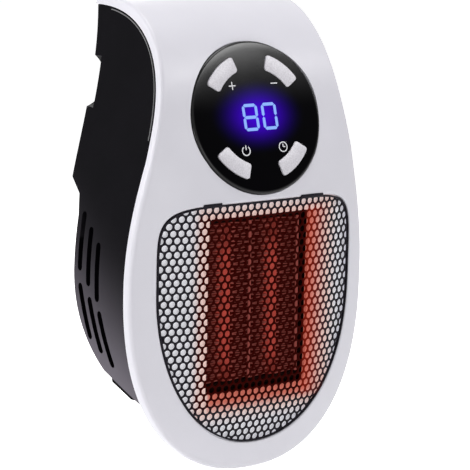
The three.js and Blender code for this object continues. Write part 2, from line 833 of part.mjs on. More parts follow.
// Slim foot strip that follows the arched underside, set in from the side wall
function footStrip(side) {
  const stripThickness = 2.2;
  const stripInset = 1;
  const stripLength = 13;
  const stripStart = 9.5;
  const stripWide = 15;
  const stripSteps = 4;
  const lower = [];
  for (let step = 0; step <= stripSteps; step += 1) {
    const x = side * (bodyHalfWidth - (stripWide * step) / stripSteps);
    lower.push(new THREE.Vector2(x, -gap - stripThickness - archDrop(x)));
  }
  const upper = lower.slice().reverse().map((point) => point.clone().setY(point.y + stripThickness));
  const shape = new THREE.Shape([...lower, ...upper]);
  const strip = new THREE.ExtrudeGeometry(shape, { depth: stripLength, bevelEnabled: false });
  return common(slanted(strip.translate(0, 0, stripStart)), outlinePrism(stripInset));
}

// Screws, retaining ring and contact carrier behind the plug disc
const plugScrewZ = (discNeckRadius + discBodyRadius) / 2;
const plugScrewShank = 1;
const plugScrewHead = 2;
const retainerEdge = 1;
const retainerRadius = discRadius + retainerEdge;
const retainerThickness = 2;
const carrierEdge = 4.9;
const carrierCheek = 3.8;
const carrierHalfWidth = (bladeSpacing + bladeThickness) / 2 + carrierEdge;
const carrierHalfTall = bladeWidth / 2 + carrierCheek;
const carrierDepth = 6;

// The plug: a disc that stays in the outlet while the body swivels round it
function plugDisc() {
  const profile = [
    [0, 0],
    [discRadius, 0],
    [discRadius, -discFlange],
    [discBodyRadius, -discFlange],
    [discBodyRadius, -wall],
    [discNeckRadius, -wall],
    [discNeckRadius, -discDepth],
    [0, -discDepth],
  ].map(([radius, y]) => new THREE.Vector2(radius, y));
  const disc = new THREE.LatheGeometry(profile.reverse(), roundSides);
  const slots = [-1, 1].map((side) => bladeBlock(side, gap, -discDepth - overrun, overrun));
  const screwHoles = [-1, 1].map((side) => (
    barY(plugScrewShank + gap, -wall - overrun, -discFlange + gap, 0, side * plugScrewZ)
  ));
  return cut(disc, ...slots, ...screwHoles);
}

function bladeBlock(side, margin, lowY, highY) {
  const x = side * bladeSpacing / 2;
  const wide = bladeThickness / 2 + margin;
  const tall = bladeWidth / 2 + margin;
  return block(x - wide, x + wide, lowY, highY, -tall, tall);
}

function plugBlade(side) {
  const holeRadius = 1.6;
  const holeFromTip = 5;
  const blade = bladeBlock(side, 0, -bladeRoot, bladeReach);
  const hole = new THREE.CylinderGeometry(holeRadius, holeRadius, bladeSpacing, smallSides);
  hole.rotateZ(quarterTurn).translate(side * bladeSpacing / 2, bladeReach - holeFromTip, 0);
  return cut(blade, hole);
}

// Ring behind the back wall that keeps the plug disc in its hole
function plugRetainer() {
  const low = -wall - gap - retainerThickness;
  const ring = barY(retainerRadius, low, -wall - gap, 0, 0, roundSides);
  const hole = barY(discNeckRadius + gap, low - overrun, 0, 0, 0, roundSides);
  const screwHoles = [-1, 1].map((side) => (
    barY(plugScrewShank + gap, low - overrun, 0, 0, side * plugScrewZ)
  ));
  return cut(ring, hole, ...screwHoles);
}

// Insulating block that holds the blades' inner ends
function contactCarrier() {
  const high = -discDepth - gap;
  const carrier = block(
    -carrierHalfWidth,
    carrierHalfWidth,
    high - carrierDepth,
    high,
    -carrierHalfTall,
    carrierHalfTall,
  );
  const slots = [-1, 1].map((side) => bladeBlock(side, gap, -bladeRoot - gap, 0));
  return cut(carrier, ...slots);
}

// Screw that holds the retainer to the plug disc, driven from inside the body
function plugScrew(side) {
  const headEnd = wall + 2 * gap + retainerThickness + screwHeadDepth;
  const length = headEnd - discFlange - gap;
  const driven = screw(headEnd, length, 0, side * plugScrewZ, plugScrewShank, plugScrewHead);
  return driven.rotateZ(Math.PI);
}

// Pegs behind the panel that carry its board
const pegRadius = 1.5;
const pegMargin = 6.7;
const pegPlace = panelRadius - pegMargin;

// Control panel: a shallow black dome on a skirt, with four arc-shaped button holes
function panelDisc() {
  const domeSteps = 3;
  const edge = 0.8;
  const rimRadius = panelRadius - edge;
  const skirtRadius = panelRadius - skirtInset;
  const front = [];
  for (let step = 0; step <= domeSteps; step += 1) {
    const share = step / domeSteps;
    front.push([rimRadius * share, -panelDome * (1 - share ** 2)]);
  }
  const back = [
    [panelRadius, edge],
    [panelRadius, panelLip],
    [skirtRadius, panelLip],
    [skirtRadius, skirtDepth],
    [skirtRadius - skirtWall, skirtDepth],
    [skirtRadius - skirtWall, panelSkin],
    [0, panelSkin],
  ];
  const profile = [...front, ...back].map(([radius, y]) => new THREE.Vector2(radius, y));
  const disc = new THREE.LatheGeometry(profile, 2 * roundSides);
  const pegs = [[0, 1], [1, 0], [0, -1], [-1, 0]].map(([right, up]) => (
    barY(pegRadius, panelSkin / 2, skirtDepth - gap, right * pegPlace, up * pegPlace)
  ));
  const holes = buttonAngles().map((angle) => prismY(buttonShape(angle, gap), -overrun, skirtDepth));
  return cut(join(disc, ...pegs), ...holes);
}

function buttonAngles() {
  return [Math.PI - buttonCentre, buttonCentre, Math.PI + buttonCentre, -buttonCentre];
}

// A button's outline: part of a ring, widened by margin on every side
function buttonShape(angle, margin) {
  const arcSteps = 6;
  const middle = (buttonInnerRadius + buttonOuterRadius) / 2;
  const half = buttonHalfSpan + margin / middle;
  const points = [];
  for (let step = 0; step <= arcSteps; step += 1) {
    const turn = angle - half + (2 * half * step) / arcSteps;
    const radius = buttonOuterRadius + margin;
    points.push(new THREE.Vector2(radius * Math.cos(turn), radius * Math.sin(turn)));
  }
  for (let step = arcSteps; step >= 0; step -= 1) {
    const turn = angle - half + (2 * half * step) / arcSteps;
    const radius = buttonInnerRadius - margin;
    points.push(new THREE.Vector2(radius * Math.cos(turn), radius * Math.sin(turn)));
  }
  return new THREE.Shape(points);
}

const buttonProud = 1;
const tactHeight = 3.4;
const tactHalf = 3;
const stemRadius = 1.8;

// A button with the stem that presses its switch
function panelButton(angle) {
  const cap = prismY(buttonShape(angle, 0), -buttonProud, panelSkin);
  const middle = (buttonInnerRadius + buttonOuterRadius) / 2;
  const stemEnd = skirtDepth - gap - tactHeight - gap - buttonTravel;
  const stem = barY(stemRadius, 0, stemEnd, middle * Math.cos(angle), middle * Math.sin(angle));
  return join(cap, stem);
}

function tactSwitch(angle) {
  const middle = (buttonInnerRadius + buttonOuterRadius) / 2;
  const x = middle * Math.cos(angle);
  const z = middle * Math.sin(angle);
  const high = skirtDepth - gap;
  const bodyShare = 0.7;
  const low = high - tactHeight * bodyShare;
  const body = block(-tactHalf, tactHalf, low, high, -tactHalf, tactHalf).translate(x, 0, z);
  return join(body, barY(tactHalf / 2, high - tactHeight, high - tactHeight / 2, x, z));
}

function controlBoard() {
  const controlBoardMargin = 0.6;
  const radius = panelRadius - skirtInset - skirtWall - controlBoardMargin;
  return barY(radius, skirtDepth, skirtDepth + boardThickness, 0, 0, roundSides);
}

const displayX = 1.9;
const displayHalfWidth = 13;
const displayHalfTall = 8;
const receiverHalf = 2.5;
const receiverMargin = 1;
const receiverZ = receiverHalf + receiverMargin - buttonInnerRadius;

function displayModule() {
  return block(
    displayX - displayHalfWidth,
    displayX + displayHalfWidth,
    panelSkin + gap,
    skirtDepth - gap,
    -displayHalfTall,
    displayHalfTall,
  );
}

function remoteReceiver() {
  const lens = barY(receiverHalf / 2, panelSkin + gap, skirtDepth / 2, 0, receiverZ);
  const low = skirtDepth / 2 - gap;
  const high = skirtDepth - gap;
  const body = block(-receiverHalf, receiverHalf, low, high, -receiverHalf, receiverHalf);
  return join(lens, body.translate(0, 0, receiverZ));
}

// The honeycomb net, one piece with a solid border, bowed like the face round it
function grilleNet() {
  const netInset = grilleFrameWidth + 2 * gap;
  const borderWidth = 0.9;
  const shape = new THREE.Shape(grilleOutline(netInset));
  const rowPitch = netPitch * Math.sqrt(3) / 2;
  const cornerRadius = netHole / Math.sqrt(3);
  const rows = Math.ceil((grilleTopZ - grilleBottomZ) / rowPitch);
  const columns = Math.ceil(grilleHalfWidth / netPitch);
  const firstZ = grilleTopZ - netInset - borderWidth - cornerRadius;
  for (let row = 0; row < rows; row += 1) {
    for (let column = -columns; column <= columns; column += 1) {
      const x = (column + (row % 2 === 0 ? 0 : 1 / 2)) * netPitch;
      const z = firstZ - row * rowPitch;
      if (insideGrille(x, z, netInset + borderWidth + netHole / 2)) {
        shape.holes.push(hexagon(x, z, cornerRadius));
      }
    }
  }
  return bentPlate(shape, netRecess, netThickness);
}

function hexagon(x, z, radius) {
  const corners = [];
  for (let corner = 0; corner < 6; corner += 1) {
    const turn = -(corner + 1 / 2) * Math.PI / 3;
    corners.push(new THREE.Vector2(x + radius * Math.cos(turn), z + radius * Math.sin(turn)));
  }
  return new THREE.Path(corners);
}

// Thin black frame round the net
function grilleFrame() {
  const frameDepth = 2.4;
  const shape = new THREE.Shape(grilleOutline(gap));
  shape.holes.push(new THREE.Path(grilleOutline(gap + grilleFrameWidth).reverse()));
  return bentPlate(shape, 0, frameDepth);
}

const trayThickness = 1.6;
const trayOverlap = 2.4;
const trayRecess = wall + 3 * gap;

function coreRectangle(margin) {
  return [
    new THREE.Vector2(-coreHalfWidth - margin, coreBottomZ - margin),
    new THREE.Vector2(coreHalfWidth + margin, coreBottomZ - margin),
    new THREE.Vector2(coreHalfWidth + margin, coreTopZ + margin),
    new THREE.Vector2(-coreHalfWidth - margin, coreTopZ + margin),
  ];
}

function trayShape() {
  const shape = new THREE.Shape(grilleOutline(-trayOverlap));
  shape.holes.push(new THREE.Path(coreRectangle(0).reverse()));
  return shape;
}

// White reflector behind the net, with the window of the heating core
function reflectorTray() {
  return bentPlate(trayShape(), trayRecess, trayThickness);
}

// A ring of points for the duct: the core's rectangle at roundness 0 and the fan's circle at 1
function ductRing(y, margin, roundness) {
  const stepsPerSide = 6;
  const corners = coreRectangle(margin);
  const points = [];
  corners.forEach((corner, side) => {
    const next = corners[(side + 1) % corners.length];
    for (let step = 0; step < stepsPerSide; step += 1) {
      const share = step / stepsPerSide;
      const flat = corner.clone().lerp(next, share);
      const turn = (side + share - 3 / 2) * quarterTurn;
      const radius = fanRadius + fanTip + margin;
      const round = new THREE.Vector3(radius * Math.cos(turn), y, fanZ + radius * Math.sin(turn));
      points.push(new THREE.Vector3(flat.x, y, flat.y).lerp(round, roundness));
    }
  });
  return points;
}

const coreHolder = 3;
const terminalX = 12;
const terminalSet = 4.5;
const terminalY = coreFrontY + terminalSet;
const terminalHalfWidth = 2;
const terminalThickness = 0.8;
const terminalRise = 7;

// Dark duct: a rectangular tunnel round the core that narrows to the round fan behind it
function airDuct() {
  const frontY = 3 * panelY / 2;
  const ductRear = fanPlateY - gap;
  const outer = loft([
    ductRing(frontY, ductWall, 0),
    ductRing(ductEndY, ductWall, 0),
    ductRing(ductRear, ductWall, 1),
  ]);
  const inner = loft([
    ductRing(frontY - overrun, 0, 0),
    ductRing(ductEndY, 0, 0),
    ductRing(ductRear, 0, 1),
    ductRing(ductRear + overrun, 0, 1),
  ]);
  const inFrontOfTray = bentPlate(trayShape(), frontY, trayRecess + trayThickness + gap - frontY);
  const slots = [-1, 1].map((side) => terminalBlock(side, gap));
  return cut(outer, inner, inFrontOfTray, ...slots);
}

function terminalBlock(side, margin) {
  return block(
    side * terminalX - terminalHalfWidth - margin,
    side * terminalX + terminalHalfWidth + margin,
    terminalY - terminalThickness / 2 - margin,
    terminalY + terminalThickness / 2 + margin,
    coreTopZ - coreHolder - margin,
    coreTopZ + terminalRise + margin,
  );
}

const stripWidth = 3.6;
const plateWidth = 1;
const finFoldWidth = 2.2;
const finPitch = 4.2;

function coreBlock(lowX, highX, lowZ, highZ) {
  return block(lowX, highX, coreFrontY, coreFrontY + coreDepth, lowZ, highZ);
}

const coreInnerTopZ = coreTopZ - coreHolder - 2 * gap;
const coreInnerLowZ = coreBottomZ + coreHolder + 2 * gap;

function coreHolderBar(top) {
  const lowZ = top ? coreTopZ - gap - coreHolder : coreBottomZ + gap;
  const half = coreHalfWidth - gap;
  const bar = coreBlock(-half, half, lowZ, lowZ + coreHolder);
  if (!top) {
    return bar;
  }
  return cut(bar, ...[-1, 1].map((side) => terminalBlock(side, gap).translate(0, 0, -overrun)));
}

// One folded fin: a zigzag ribbon between two upright plates
function finStack(lowX, highX) {
  const folds = Math.floor((coreInnerTopZ - coreInnerLowZ) / finPitch);
  const pitch = (coreInnerTopZ - coreInnerLowZ) / folds;
  const frontY = coreFrontY + gap;
  const rearY = coreFrontY + coreDepth - gap;
  const rings = [];
  for (let fold = 0; fold <= 2 * folds; fold += 1) {
    const left = fold % 2 === 0 ? lowX : highX - finFoldWidth;
    const right = left + finFoldWidth;
    const z = coreInnerLowZ + fold * pitch / 2;
    const corners = [[left, frontY], [left, rearY], [right, rearY], [right, frontY]];
    rings.push(corners.map(([x, y]) => new THREE.Vector3(x, y, z)));
  }
  return loft(rings);
}

// Upright plates and strips of the core, from the middle outward, and the fins between them
function addHeatingCore(parent) {
  const stripLow = terminalX - stripWidth / 2;
  const stripHigh = terminalX + stripWidth / 2;
  const sideLow = coreHalfWidth - gap - plateWidth;
  addPiece(parent, 'core_holder_top', coreHolderBar(true), materials.heatPlastic);
  addPiece(parent, 'core_holder_bottom', coreHolderBar(false), materials.heatPlastic);
  const divider = coreBlock(-plateWidth / 2, plateWidth / 2, coreInnerLowZ, coreInnerTopZ);
  addPiece(parent, 'core_divider', divider, materials.finMetal);
  for (const [side, word] of [[-1, 'left'], [1, 'right']]) {
    const between = (low, high) => [Math.min(side * low, side * high), Math.max(side * low, side * high)];
    const strip = coreBlock(...between(stripLow, stripHigh), coreInnerLowZ, coreInnerTopZ);
    addPiece(parent, `ceramic_strip_${word}`, strip, materials.heaterRed);
    const plate = coreBlock(...between(sideLow, coreHalfWidth - gap), coreInnerLowZ, coreInnerTopZ);
    addPiece(parent, `core_side_plate_${word}`, plate, materials.finMetal);
    const inner = finStack(...between(plateWidth / 2 + gap, stripLow - gap));
    addPiece(parent, `fin_stack_inner_${word}`, inner, materials.finMetal);
    const outer = finStack(...between(stripHigh + gap, sideLow - gap));
    addPiece(parent, `fin_stack_outer_${word}`, outer, materials.finMetal);
    const terminalName = `heater_terminal_${word}`;
    addPiece(parent, terminalName, terminalBlock(side, 0).translate(0, 0, -gap), materials.brass);
  }
}

const motorRadius = 11.5;
const shaftRadius = 1.5;
const hubRadius = 8.5;
const bladeCount = 7;

// Fan frame: mounting plate, round tube and the spokes that hold the motor cup
function fanFrame() {
  const tubeInner = fanRadius + fanTip;
  const tubeOuter = tubeInner + fanTubeWall;
  const plateRear = fanPlateY + fanPlateThickness;
  const plate = block(
    -fanPlateHalfWidth,
    fanPlateHalfWidth,
    fanPlateY,
    plateRear,
    fanZ - fanPlateFall,
    fanZ + fanPlateRise,
  );
  const tube = barY(tubeOuter, fanPlateY, fanTubeEndY, 0, fanZ, roundSides);
  const bore = barY(tubeInner, fanPlateY - overrun, fanTubeEndY + overrun, 0, fanZ, roundSides);
  const cupWall = 1.6;
  const cupRadius = motorRadius + gap + cupWall;
  const spokeDepth = 2.6;
  const spokeWidth = 3;
  const cup = barY(cupRadius, motorFrontY, fanTubeEndY, 0, fanZ, roundSides);
  const spokeLength = tubeInner + fanTubeWall / 2;
  const spokeFrontY = fanTubeEndY - spokeDepth;
  const spokes = [0, 1, 2].map((spoke) => {
    const arm = block(0, spokeLength, spokeFrontY, fanTubeEndY, -spokeWidth / 2, spokeWidth / 2);
    return arm.rotateY(spoke * 2 * Math.PI / 3 + quarterTurn).translate(0, 0, fanZ);
  });
  const cupBore = barY(motorRadius + gap, motorFrontY - overrun, fanTubeEndY + overrun, 0, fanZ, roundSides);
  const screwHoles = fanPostPlaces().map(({ x, z }) => (
    barY(screwShank + gap, fanPlateY - overrun, plateRear + overrun, x, z)
  ));
  return cut(join(cut(join(plate, tube), bore), cup, ...spokes), cupBore, ...screwHoles);
}

// Seven pitched blades on a hub that is bored for the motor shaft
function fanImpeller() {
  const bladeThick = 1.1;
  const bladeChord = 10.5;
  const bladePitch = THREE.MathUtils.degToRad(40);
  const midY = (hubFrontY + hubRearY) / 2;
  const hub = barY(hubRadius, hubFrontY, hubRearY, 0, 0, 2 * smallSides);
  const blades = [];
  for (let blade = 0; blade < bladeCount; blade += 1) {
    const slab = new THREE.BoxGeometry(fanRadius - hubRadius + overrun, bladeThick, bladeChord);
    slab.rotateX(bladePitch).translate((fanRadius + hubRadius - overrun) / 2, midY, 0);
    blades.push(slab.rotateY(blade * 2 * Math.PI / bladeCount));
  }
  const rim = barY(fanRadius, hubFrontY, hubRearY, 0, 0, roundSides);
  const bore = barY(shaftRadius + gap, hubFrontY + wall, hubRearY + overrun, 0, 0);
  return cut(common(join(hub, ...blades), rim), bore).translate(0, 0, fanZ);
}

function motorShaft() {
  return barY(shaftRadius, hubFrontY + wall + gap, motorRearY - wall, 0, fanZ);
}

function fanMotor() {
  const body = barY(motorRadius, motorFrontY, motorRearY, 0, fanZ, 2 * smallSides);
  const bore = barY(shaftRadius + gap, motorFrontY - overrun, motorRearY - wall + gap, 0, fanZ);
  return cut(body, bore);
}

// A fan screw is driven from the front into its post
function fanScrew({ x, z }) {
  const headY = fanPlateY - gap - screwHeadDepth;
  return screw(0, fanScrewTipY - headY, -x, z).rotateZ(Math.PI).translate(0, headY, 0);
}

function powerBoard() {
  return block(-boardHalfWidth, boardHalfWidth, boardY - boardThickness, boardY, boardLowZ, boardTopZ);
}

const relayWidth = 19;
const relayTall = 15;
const relayDeep = 12.7;
const relayX = -18;
const relayZ = -24;
const capacitorX = 15;
const capacitorZ = -20;
const capacitorWidth = 16;
const capacitorTall = 13;
const capacitorDeep = 9;
const boardFrontY = boardY - boardThickness;

function boardPart(x, z, width, tall, deep) {
  const front = boardFrontY - gap;
  return block(x - width / 2, x + width / 2, front - deep, front, z - tall / 2, z + tall / 2);
}

// Round thermal cut-out that sits on the duct's roof
function thermalCutout() {
  const cutoutRadius = 4;
  const cutoutHeight = 4;
  const cutoutY = ductEndY - cutoutRadius;
  const button = new THREE.CylinderGeometry(cutoutRadius, cutoutRadius, cutoutHeight, 2 * smallSides);
  button.rotateX(quarterTurn).translate(0, cutoutY, coreTopZ + ductWall + gap + cutoutHeight / 2);
  return button;
}

const leadRadius = 1;

// An insulated lead from the power board's lower edge to a heater terminal
function heaterLead(side) {
  const leadSides = 6;
  const leadSteps = 8;
  const startZ = boardLowZ - leadRadius - gap;
  const endZ = coreTopZ + terminalRise;
  const endX = side * terminalX;
  const tipY = terminalY + terminalThickness / 2 + gap + leadRadius;
  const route = new THREE.CatmullRomCurve3([
    new THREE.Vector3(endX, boardY - boardThickness / 2, startZ),
    new THREE.Vector3(endX, (2 * boardY + tipY) / 3, (2 * startZ + endZ) / 3),
    new THREE.Vector3(endX, (boardY + 2 * tipY) / 3, (startZ + endZ) / 2),
    new THREE.Vector3(endX, tipY, endZ - leadRadius),
  ]);
  const section = new THREE.Shape();
  for (let corner = 0; corner < leadSides; corner += 1) {
    const turn = corner * 2 * Math.PI / leadSides;
    const point = new THREE.Vector2(leadRadius * Math.cos(turn), leadRadius * Math.sin(turn));
    if (corner === 0) {
      section.moveTo(point.x, point.y);
    } else {
      section.lineTo(point.x, point.y);
    }
  }
  return new THREE.ExtrudeGeometry(section, { extrudePath: route, steps: leadSteps });
}

// The assembly
const heater = new THREE.Group();

const plug = new THREE.Group();
addPiece(plug, 'plug_disc', plugDisc(), materials.coverBlack);
addPiece(plug, 'plug_blade_left', plugBlade(-1), materials.brass);
addPiece(plug, 'plug_blade_right', plugBlade(1), materials.brass);
addPiece(plug, 'plug_retainer', plugRetainer(), materials.coverBlack);
addPiece(plug, 'contact_carrier', contactCarrier(), materials.heatPlastic);
addPiece(plug, 'plug_screw_lower', plugScrew(-1), materials.steel);
addPiece(plug, 'plug_screw_upper', plugScrew(1), materials.steel);
heater.add(plug);

const body = new THREE.Group();
addPiece(body, 'front_shell', frontShell(), materials.shellWhite);
addPiece(body, 'rear_cover', rearCover(), materials.coverBlack);
addPiece(body, 'rocker_frame', ontoRockerSeat(rockerFrame()), materials.coverBlack);
addPiece(body, 'rocker_switch', ontoRockerSeat(rockerPaddle()), materials.panelBlack);
for (const [side, word] of [[-1, 'left'], [1, 'right']]) {
  addPiece(body, `foot_strip_${word}`, footStrip(side), materials.coverBlack);
  const topHeadY = -topScrewSink;
  const topLength = -bossMeetY + topScrewGrip - topScrewSink;
  const topScrew = screw(topHeadY, topLength, side * topScrewX, topScrewZ);
  addPiece(body, `cover_screw_top_${word}`, topScrew, materials.steel);
  const chinHeadHeight = chinPlateBack + gap + screwHeadDepth;
  const chinHeadY = lowerSeamY(chinScrewZ) + chinHeadHeight;
  const chinLength = chinHeadHeight + chinScrewLength;
  const chinScrew = screw(chinHeadY, chinLength, side * chinScrewX, chinScrewZ);
  addPiece(body, `cover_screw_chin_${word}`, chinScrew, materials.steel);
}
heater.add(body);

const panel = new THREE.Group();
panel.position.set(0, panelY, panelZ);
panel.rotation.x = -panelTilt;
addPiece(panel, 'panel_disc', panelDisc(), materials.panelBlack);
const buttonWords = ['plus', 'minus', 'power', 'timer'];
buttonAngles().forEach((angle, place) => {
  addPiece(panel, `button_${buttonWords[place]}`, panelButton(angle), materials.buttonSilver);
  addPiece(panel, `tact_switch_${buttonWords[place]}`, tactSwitch(angle), materials.heatPlastic);
});
addPiece(panel, 'control_board', controlBoard(), materials.boardGreen);
addPiece(panel, 'display_module', displayModule(), materials.displaySmoke);
addPiece(panel, 'remote_receiver', remoteReceiver(), materials.displaySmoke);
heater.add(panel);

const core = new THREE.Group();
addPiece(core, 'grille_net', grilleNet(), materials.meshBlack);
addPiece(core, 'grille_frame', grilleFrame(), materials.meshBlack);
addPiece(core, 'reflector_tray', reflectorTray(), materials.reflectorWhite);
addPiece(core, 'air_duct', airDuct(), materials.heatPlastic);
addHeatingCore(core);
addPiece(core, 'thermal_cutout', thermalCutout(), materials.steel);
heater.add(core);

const fan = new THREE.Group();
addPiece(fan, 'fan_frame', fanFrame(), materials.fanPlastic);
addPiece(fan, 'fan_impeller', fanImpeller(), materials.fanPlastic);
addPiece(fan, 'motor_shaft', motorShaft(), materials.steel);
addPiece(fan, 'fan_motor', fanMotor(), materials.steel);
const fanScrewPlaces = fanPostPlaces();
addPiece(fan, 'fan_screw_left', fanScrew(fanScrewPlaces[0]), materials.steel);
addPiece(fan, 'fan_screw_right', fanScrew(fanScrewPlaces[3]), materials.steel);
heater.add(fan);

const electronics = new THREE.Group();
addPiece(electronics, 'power_board', powerBoard(), materials.boardGreen);
const relay = boardPart(relayX, relayZ, relayWidth, relayTall, relayDeep);
addPiece(electronics, 'heater_relay', relay, materials.partBlue);
const capacitor = boardPart(capacitorX, capacitorZ, capacitorWidth, capacitorTall, capacitorDeep);
addPiece(electronics, 'film_capacitor', capacitor, materials.leadRed);
addPiece(electronics, 'heater_lead_left', heaterLead(-1), materials.leadRed);
addPiece(electronics, 'heater_lead_right', heaterLead(1), materials.leadRed);
heater.add(electronics);

export default heater;
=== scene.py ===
"""Finished look of a plug-in fan heater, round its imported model."""

import math

import bpy
import numpy as np
from mathutils import Matrix, Vector

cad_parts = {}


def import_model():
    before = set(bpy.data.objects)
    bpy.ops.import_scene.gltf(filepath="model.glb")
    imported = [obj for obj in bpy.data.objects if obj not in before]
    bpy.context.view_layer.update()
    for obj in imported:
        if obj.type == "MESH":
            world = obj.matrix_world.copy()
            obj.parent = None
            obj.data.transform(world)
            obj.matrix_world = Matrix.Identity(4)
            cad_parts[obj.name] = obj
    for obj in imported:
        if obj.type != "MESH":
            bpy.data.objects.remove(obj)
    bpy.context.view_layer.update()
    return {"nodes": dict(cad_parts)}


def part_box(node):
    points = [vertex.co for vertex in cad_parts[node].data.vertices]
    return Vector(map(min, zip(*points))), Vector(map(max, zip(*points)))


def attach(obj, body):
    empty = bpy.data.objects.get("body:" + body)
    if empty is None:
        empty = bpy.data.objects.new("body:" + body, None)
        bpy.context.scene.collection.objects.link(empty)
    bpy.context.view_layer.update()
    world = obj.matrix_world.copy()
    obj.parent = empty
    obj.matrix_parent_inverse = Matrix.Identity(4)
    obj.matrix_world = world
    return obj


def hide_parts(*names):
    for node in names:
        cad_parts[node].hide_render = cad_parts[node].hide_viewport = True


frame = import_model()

nodes = frame["nodes"]

# Millimetres to metres
MM = 0.001

# Sizes of the body, in millimetres, as in the solids
BODY_HALF = 59.8
TOP_HALF = 41.2
TOP_Z = 31.5
WIDEST_Z = -83.0
CHIN_Z = -164.0
CHIN_POWER = 2.3
SHOULDER_Z = -29.0
SEAM_DEPTH = 54.7
HOOD_POWER = 2.65
CHIN_DRAW = 3.9
DRAW_POWER = 4.0
RIM = 4.4
HEAD_CROWN = 0.6
BODY_CROWN = 10.3
CROWN_POWER = 3.2
CROWN_TOP_Z = -8.0
CROWN_LOW_Z = -49.0
CHIN_SWELL = 2.8
SWELL_TOP_Z = -88.0
SWELL_POWER = 1.2
WALL = 2.2
GAP = 0.3
OVERRUN = 2.0

# Sizes of the rear cover
WALL_FACE_LOW_Z = -41.5
STEP_DEPTH = 8.3
STEP_Z = -47.5
STANDOFF = 10.4
STANDOFF_Z = -56.0
HEEL_Z = -79.9
HEEL_RADIUS = 55.9
UNDERSIDE_Y = -23.5
UNDERSIDE_Z = -116.2
UNDERSIDE_ANGLE = math.radians(21.5)
UNDERSIDE_ARCH = 14.0
SIDE_DRAFT = 1.2
NOTCH_TALL = 21.2
NOTCH_DEEP = 5.4
NOTCH_SCOOP = 6.0
ROCKER_Y = -28.0
ROCKER_Z = -28.0

# Sizes of the grille, the panel, the core and the plug
GRILLE_HALF = 49.3
GRILLE_MID_Z = WIDEST_Z
GRILLE_TOP_Z = -47.0
GRILLE_BOTTOM_Z = -151.5
GRILLE_TOP_POWER = 6.0
GRILLE_BOTTOM_POWER = 2.1
FRAME_WIDTH = 0.8
NET_RECESS = 0.6
PANEL_RADIUS = 32.2
PANEL_Y = -60.0
PANEL_Z = -12.9
PANEL_TILT = math.radians(16)
PANEL_DOME = 1.0
PANEL_SKIN = 2.2
PANEL_LIP = 3.2
SKIRT_INSET = 1.2
BUTTON_INNER = 20.5
BUTTON_OUTER = 27.2
BUTTON_MIDDLE = (BUTTON_INNER + BUTTON_OUTER) / 2
BUTTON_CENTRE = math.radians(52)
BUTTON_HALF_SPAN = math.radians(19)
CORE_HALF = 25.5
CORE_TOP_Z = -53.4
CORE_BOTTOM_Z = -128.4
CORE_FRONT_Y = -56.5
CORE_DEPTH = 8.2
STRIP_X = 12.0
STRIP_WIDTH = 3.6
DISC_RADIUS = 28.0
BLADE_X = 6.35

SIDES = ((-1, "left"), (1, "right"))
QUARTER_TURN = math.pi / 2


# The body's form, on arrays of points
def half_width(z, inset=0.0):
    z = np.asarray(z, float)
    rise = np.clip((z - WIDEST_Z) / (TOP_Z - WIDEST_Z), 0, 1)
    upper = TOP_HALF + (BODY_HALF - TOP_HALF) * np.cos(QUARTER_TURN * rise) ** 2 - inset
    drop = np.clip((WIDEST_Z - z) / (WIDEST_Z - CHIN_Z - inset), 0, 1)
    lower = (BODY_HALF - inset) * (1 - drop**CHIN_POWER) ** (1 / CHIN_POWER)
    return np.where(z >= WIDEST_Z, upper, lower)


def half_at(z, inset=0.0):
    return float(half_width(z, inset))


def lower_seam_y(z):
    fall = (SHOULDER_Z - np.asarray(z, float)) / (SHOULDER_Z - CHIN_Z)
    return -SEAM_DEPTH + CHIN_DRAW * (1 - np.clip(1 - fall, 0, None) ** DRAW_POWER)


def seam_point(stage, inset=0.0):
    """The seam's y and z: stages 0 to 1 run over the hood, 1 to 2 down to the chin."""
    if stage <= 1:
        turn = stage * QUARTER_TURN
        y = -SEAM_DEPTH * math.sin(turn) ** (2 / HOOD_POWER)
        return y, SHOULDER_Z + (TOP_Z - SHOULDER_Z) * math.cos(turn) ** (2 / HOOD_POWER)
    fall = math.sin((stage - 1) * QUARTER_TURN)
    z = SHOULDER_Z - (SHOULDER_Z - CHIN_Z - inset) * fall
    return float(lower_seam_y(z)), z


def off_seam(stage, inset=0.0):
    """The seam's y and z, and the direction straight out from it."""
    step = 0.01
    before = seam_point(max(0, stage - step))
    after = seam_point(min(2, stage + step))
    along = Vector((after[0] - before[0], after[1] - before[1])).normalized()
    return *seam_point(stage, inset), along.y, -along.x


def stage_at(z):
    return 1 + math.asin((SHOULDER_Z - z) / (SHOULDER_Z - CHIN_Z)) / QUARTER_TURN


def outline_share(x, z):
    x = np.abs(np.asarray(x, float))
    z = np.asarray(z, float)
    upper = x / half_width(z)
    down = np.clip((WIDEST_Z - z) / (WIDEST_Z - CHIN_Z), 0, None)
    lower = ((x / BODY_HALF) ** CHIN_POWER + down**CHIN_POWER) ** (1 / CHIN_POWER)
    return np.clip(np.where(z >= WIDEST_Z, upper, lower), 0, 1)


def rim_at(z):
    """The height of the rim above the seam, which grows towards the chin."""
    lowered = np.clip((SWELL_TOP_Z - np.asarray(z, float)) / (SWELL_TOP_Z - CHIN_Z), 0, 1)
    return RIM + CHIN_SWELL * lowered**SWELL_POWER


def face_height(x, z):
    z = np.asarray(z, float)
    lowered = np.clip((CROWN_TOP_Z - z) / (CROWN_TOP_Z - CROWN_LOW_Z), 0, 1)
    lowered = lowered * lowered * (3 - 2 * lowered)
    crown = HEAD_CROWN + (BODY_CROWN - HEAD_CROWN) * lowered
    return rim_at(z) + crown * (1 - outline_share(x, z) ** CROWN_POWER)


def face_y(x, z):
    return lower_seam_y(z) - face_height(x, z)


def edge_distance(x, z):
    """How far a point of the face lies inside the outline."""
    step = 0.05
    share = outline_share(x, z)
    across = (outline_share(np.abs(x) - step, z) - share) / step
    along = (outline_share(x, z + step) - share) / step
    slope = np.maximum(np.hypot(across, along), 1 / (2 * BODY_HALF))
    return (1 - share) / slope


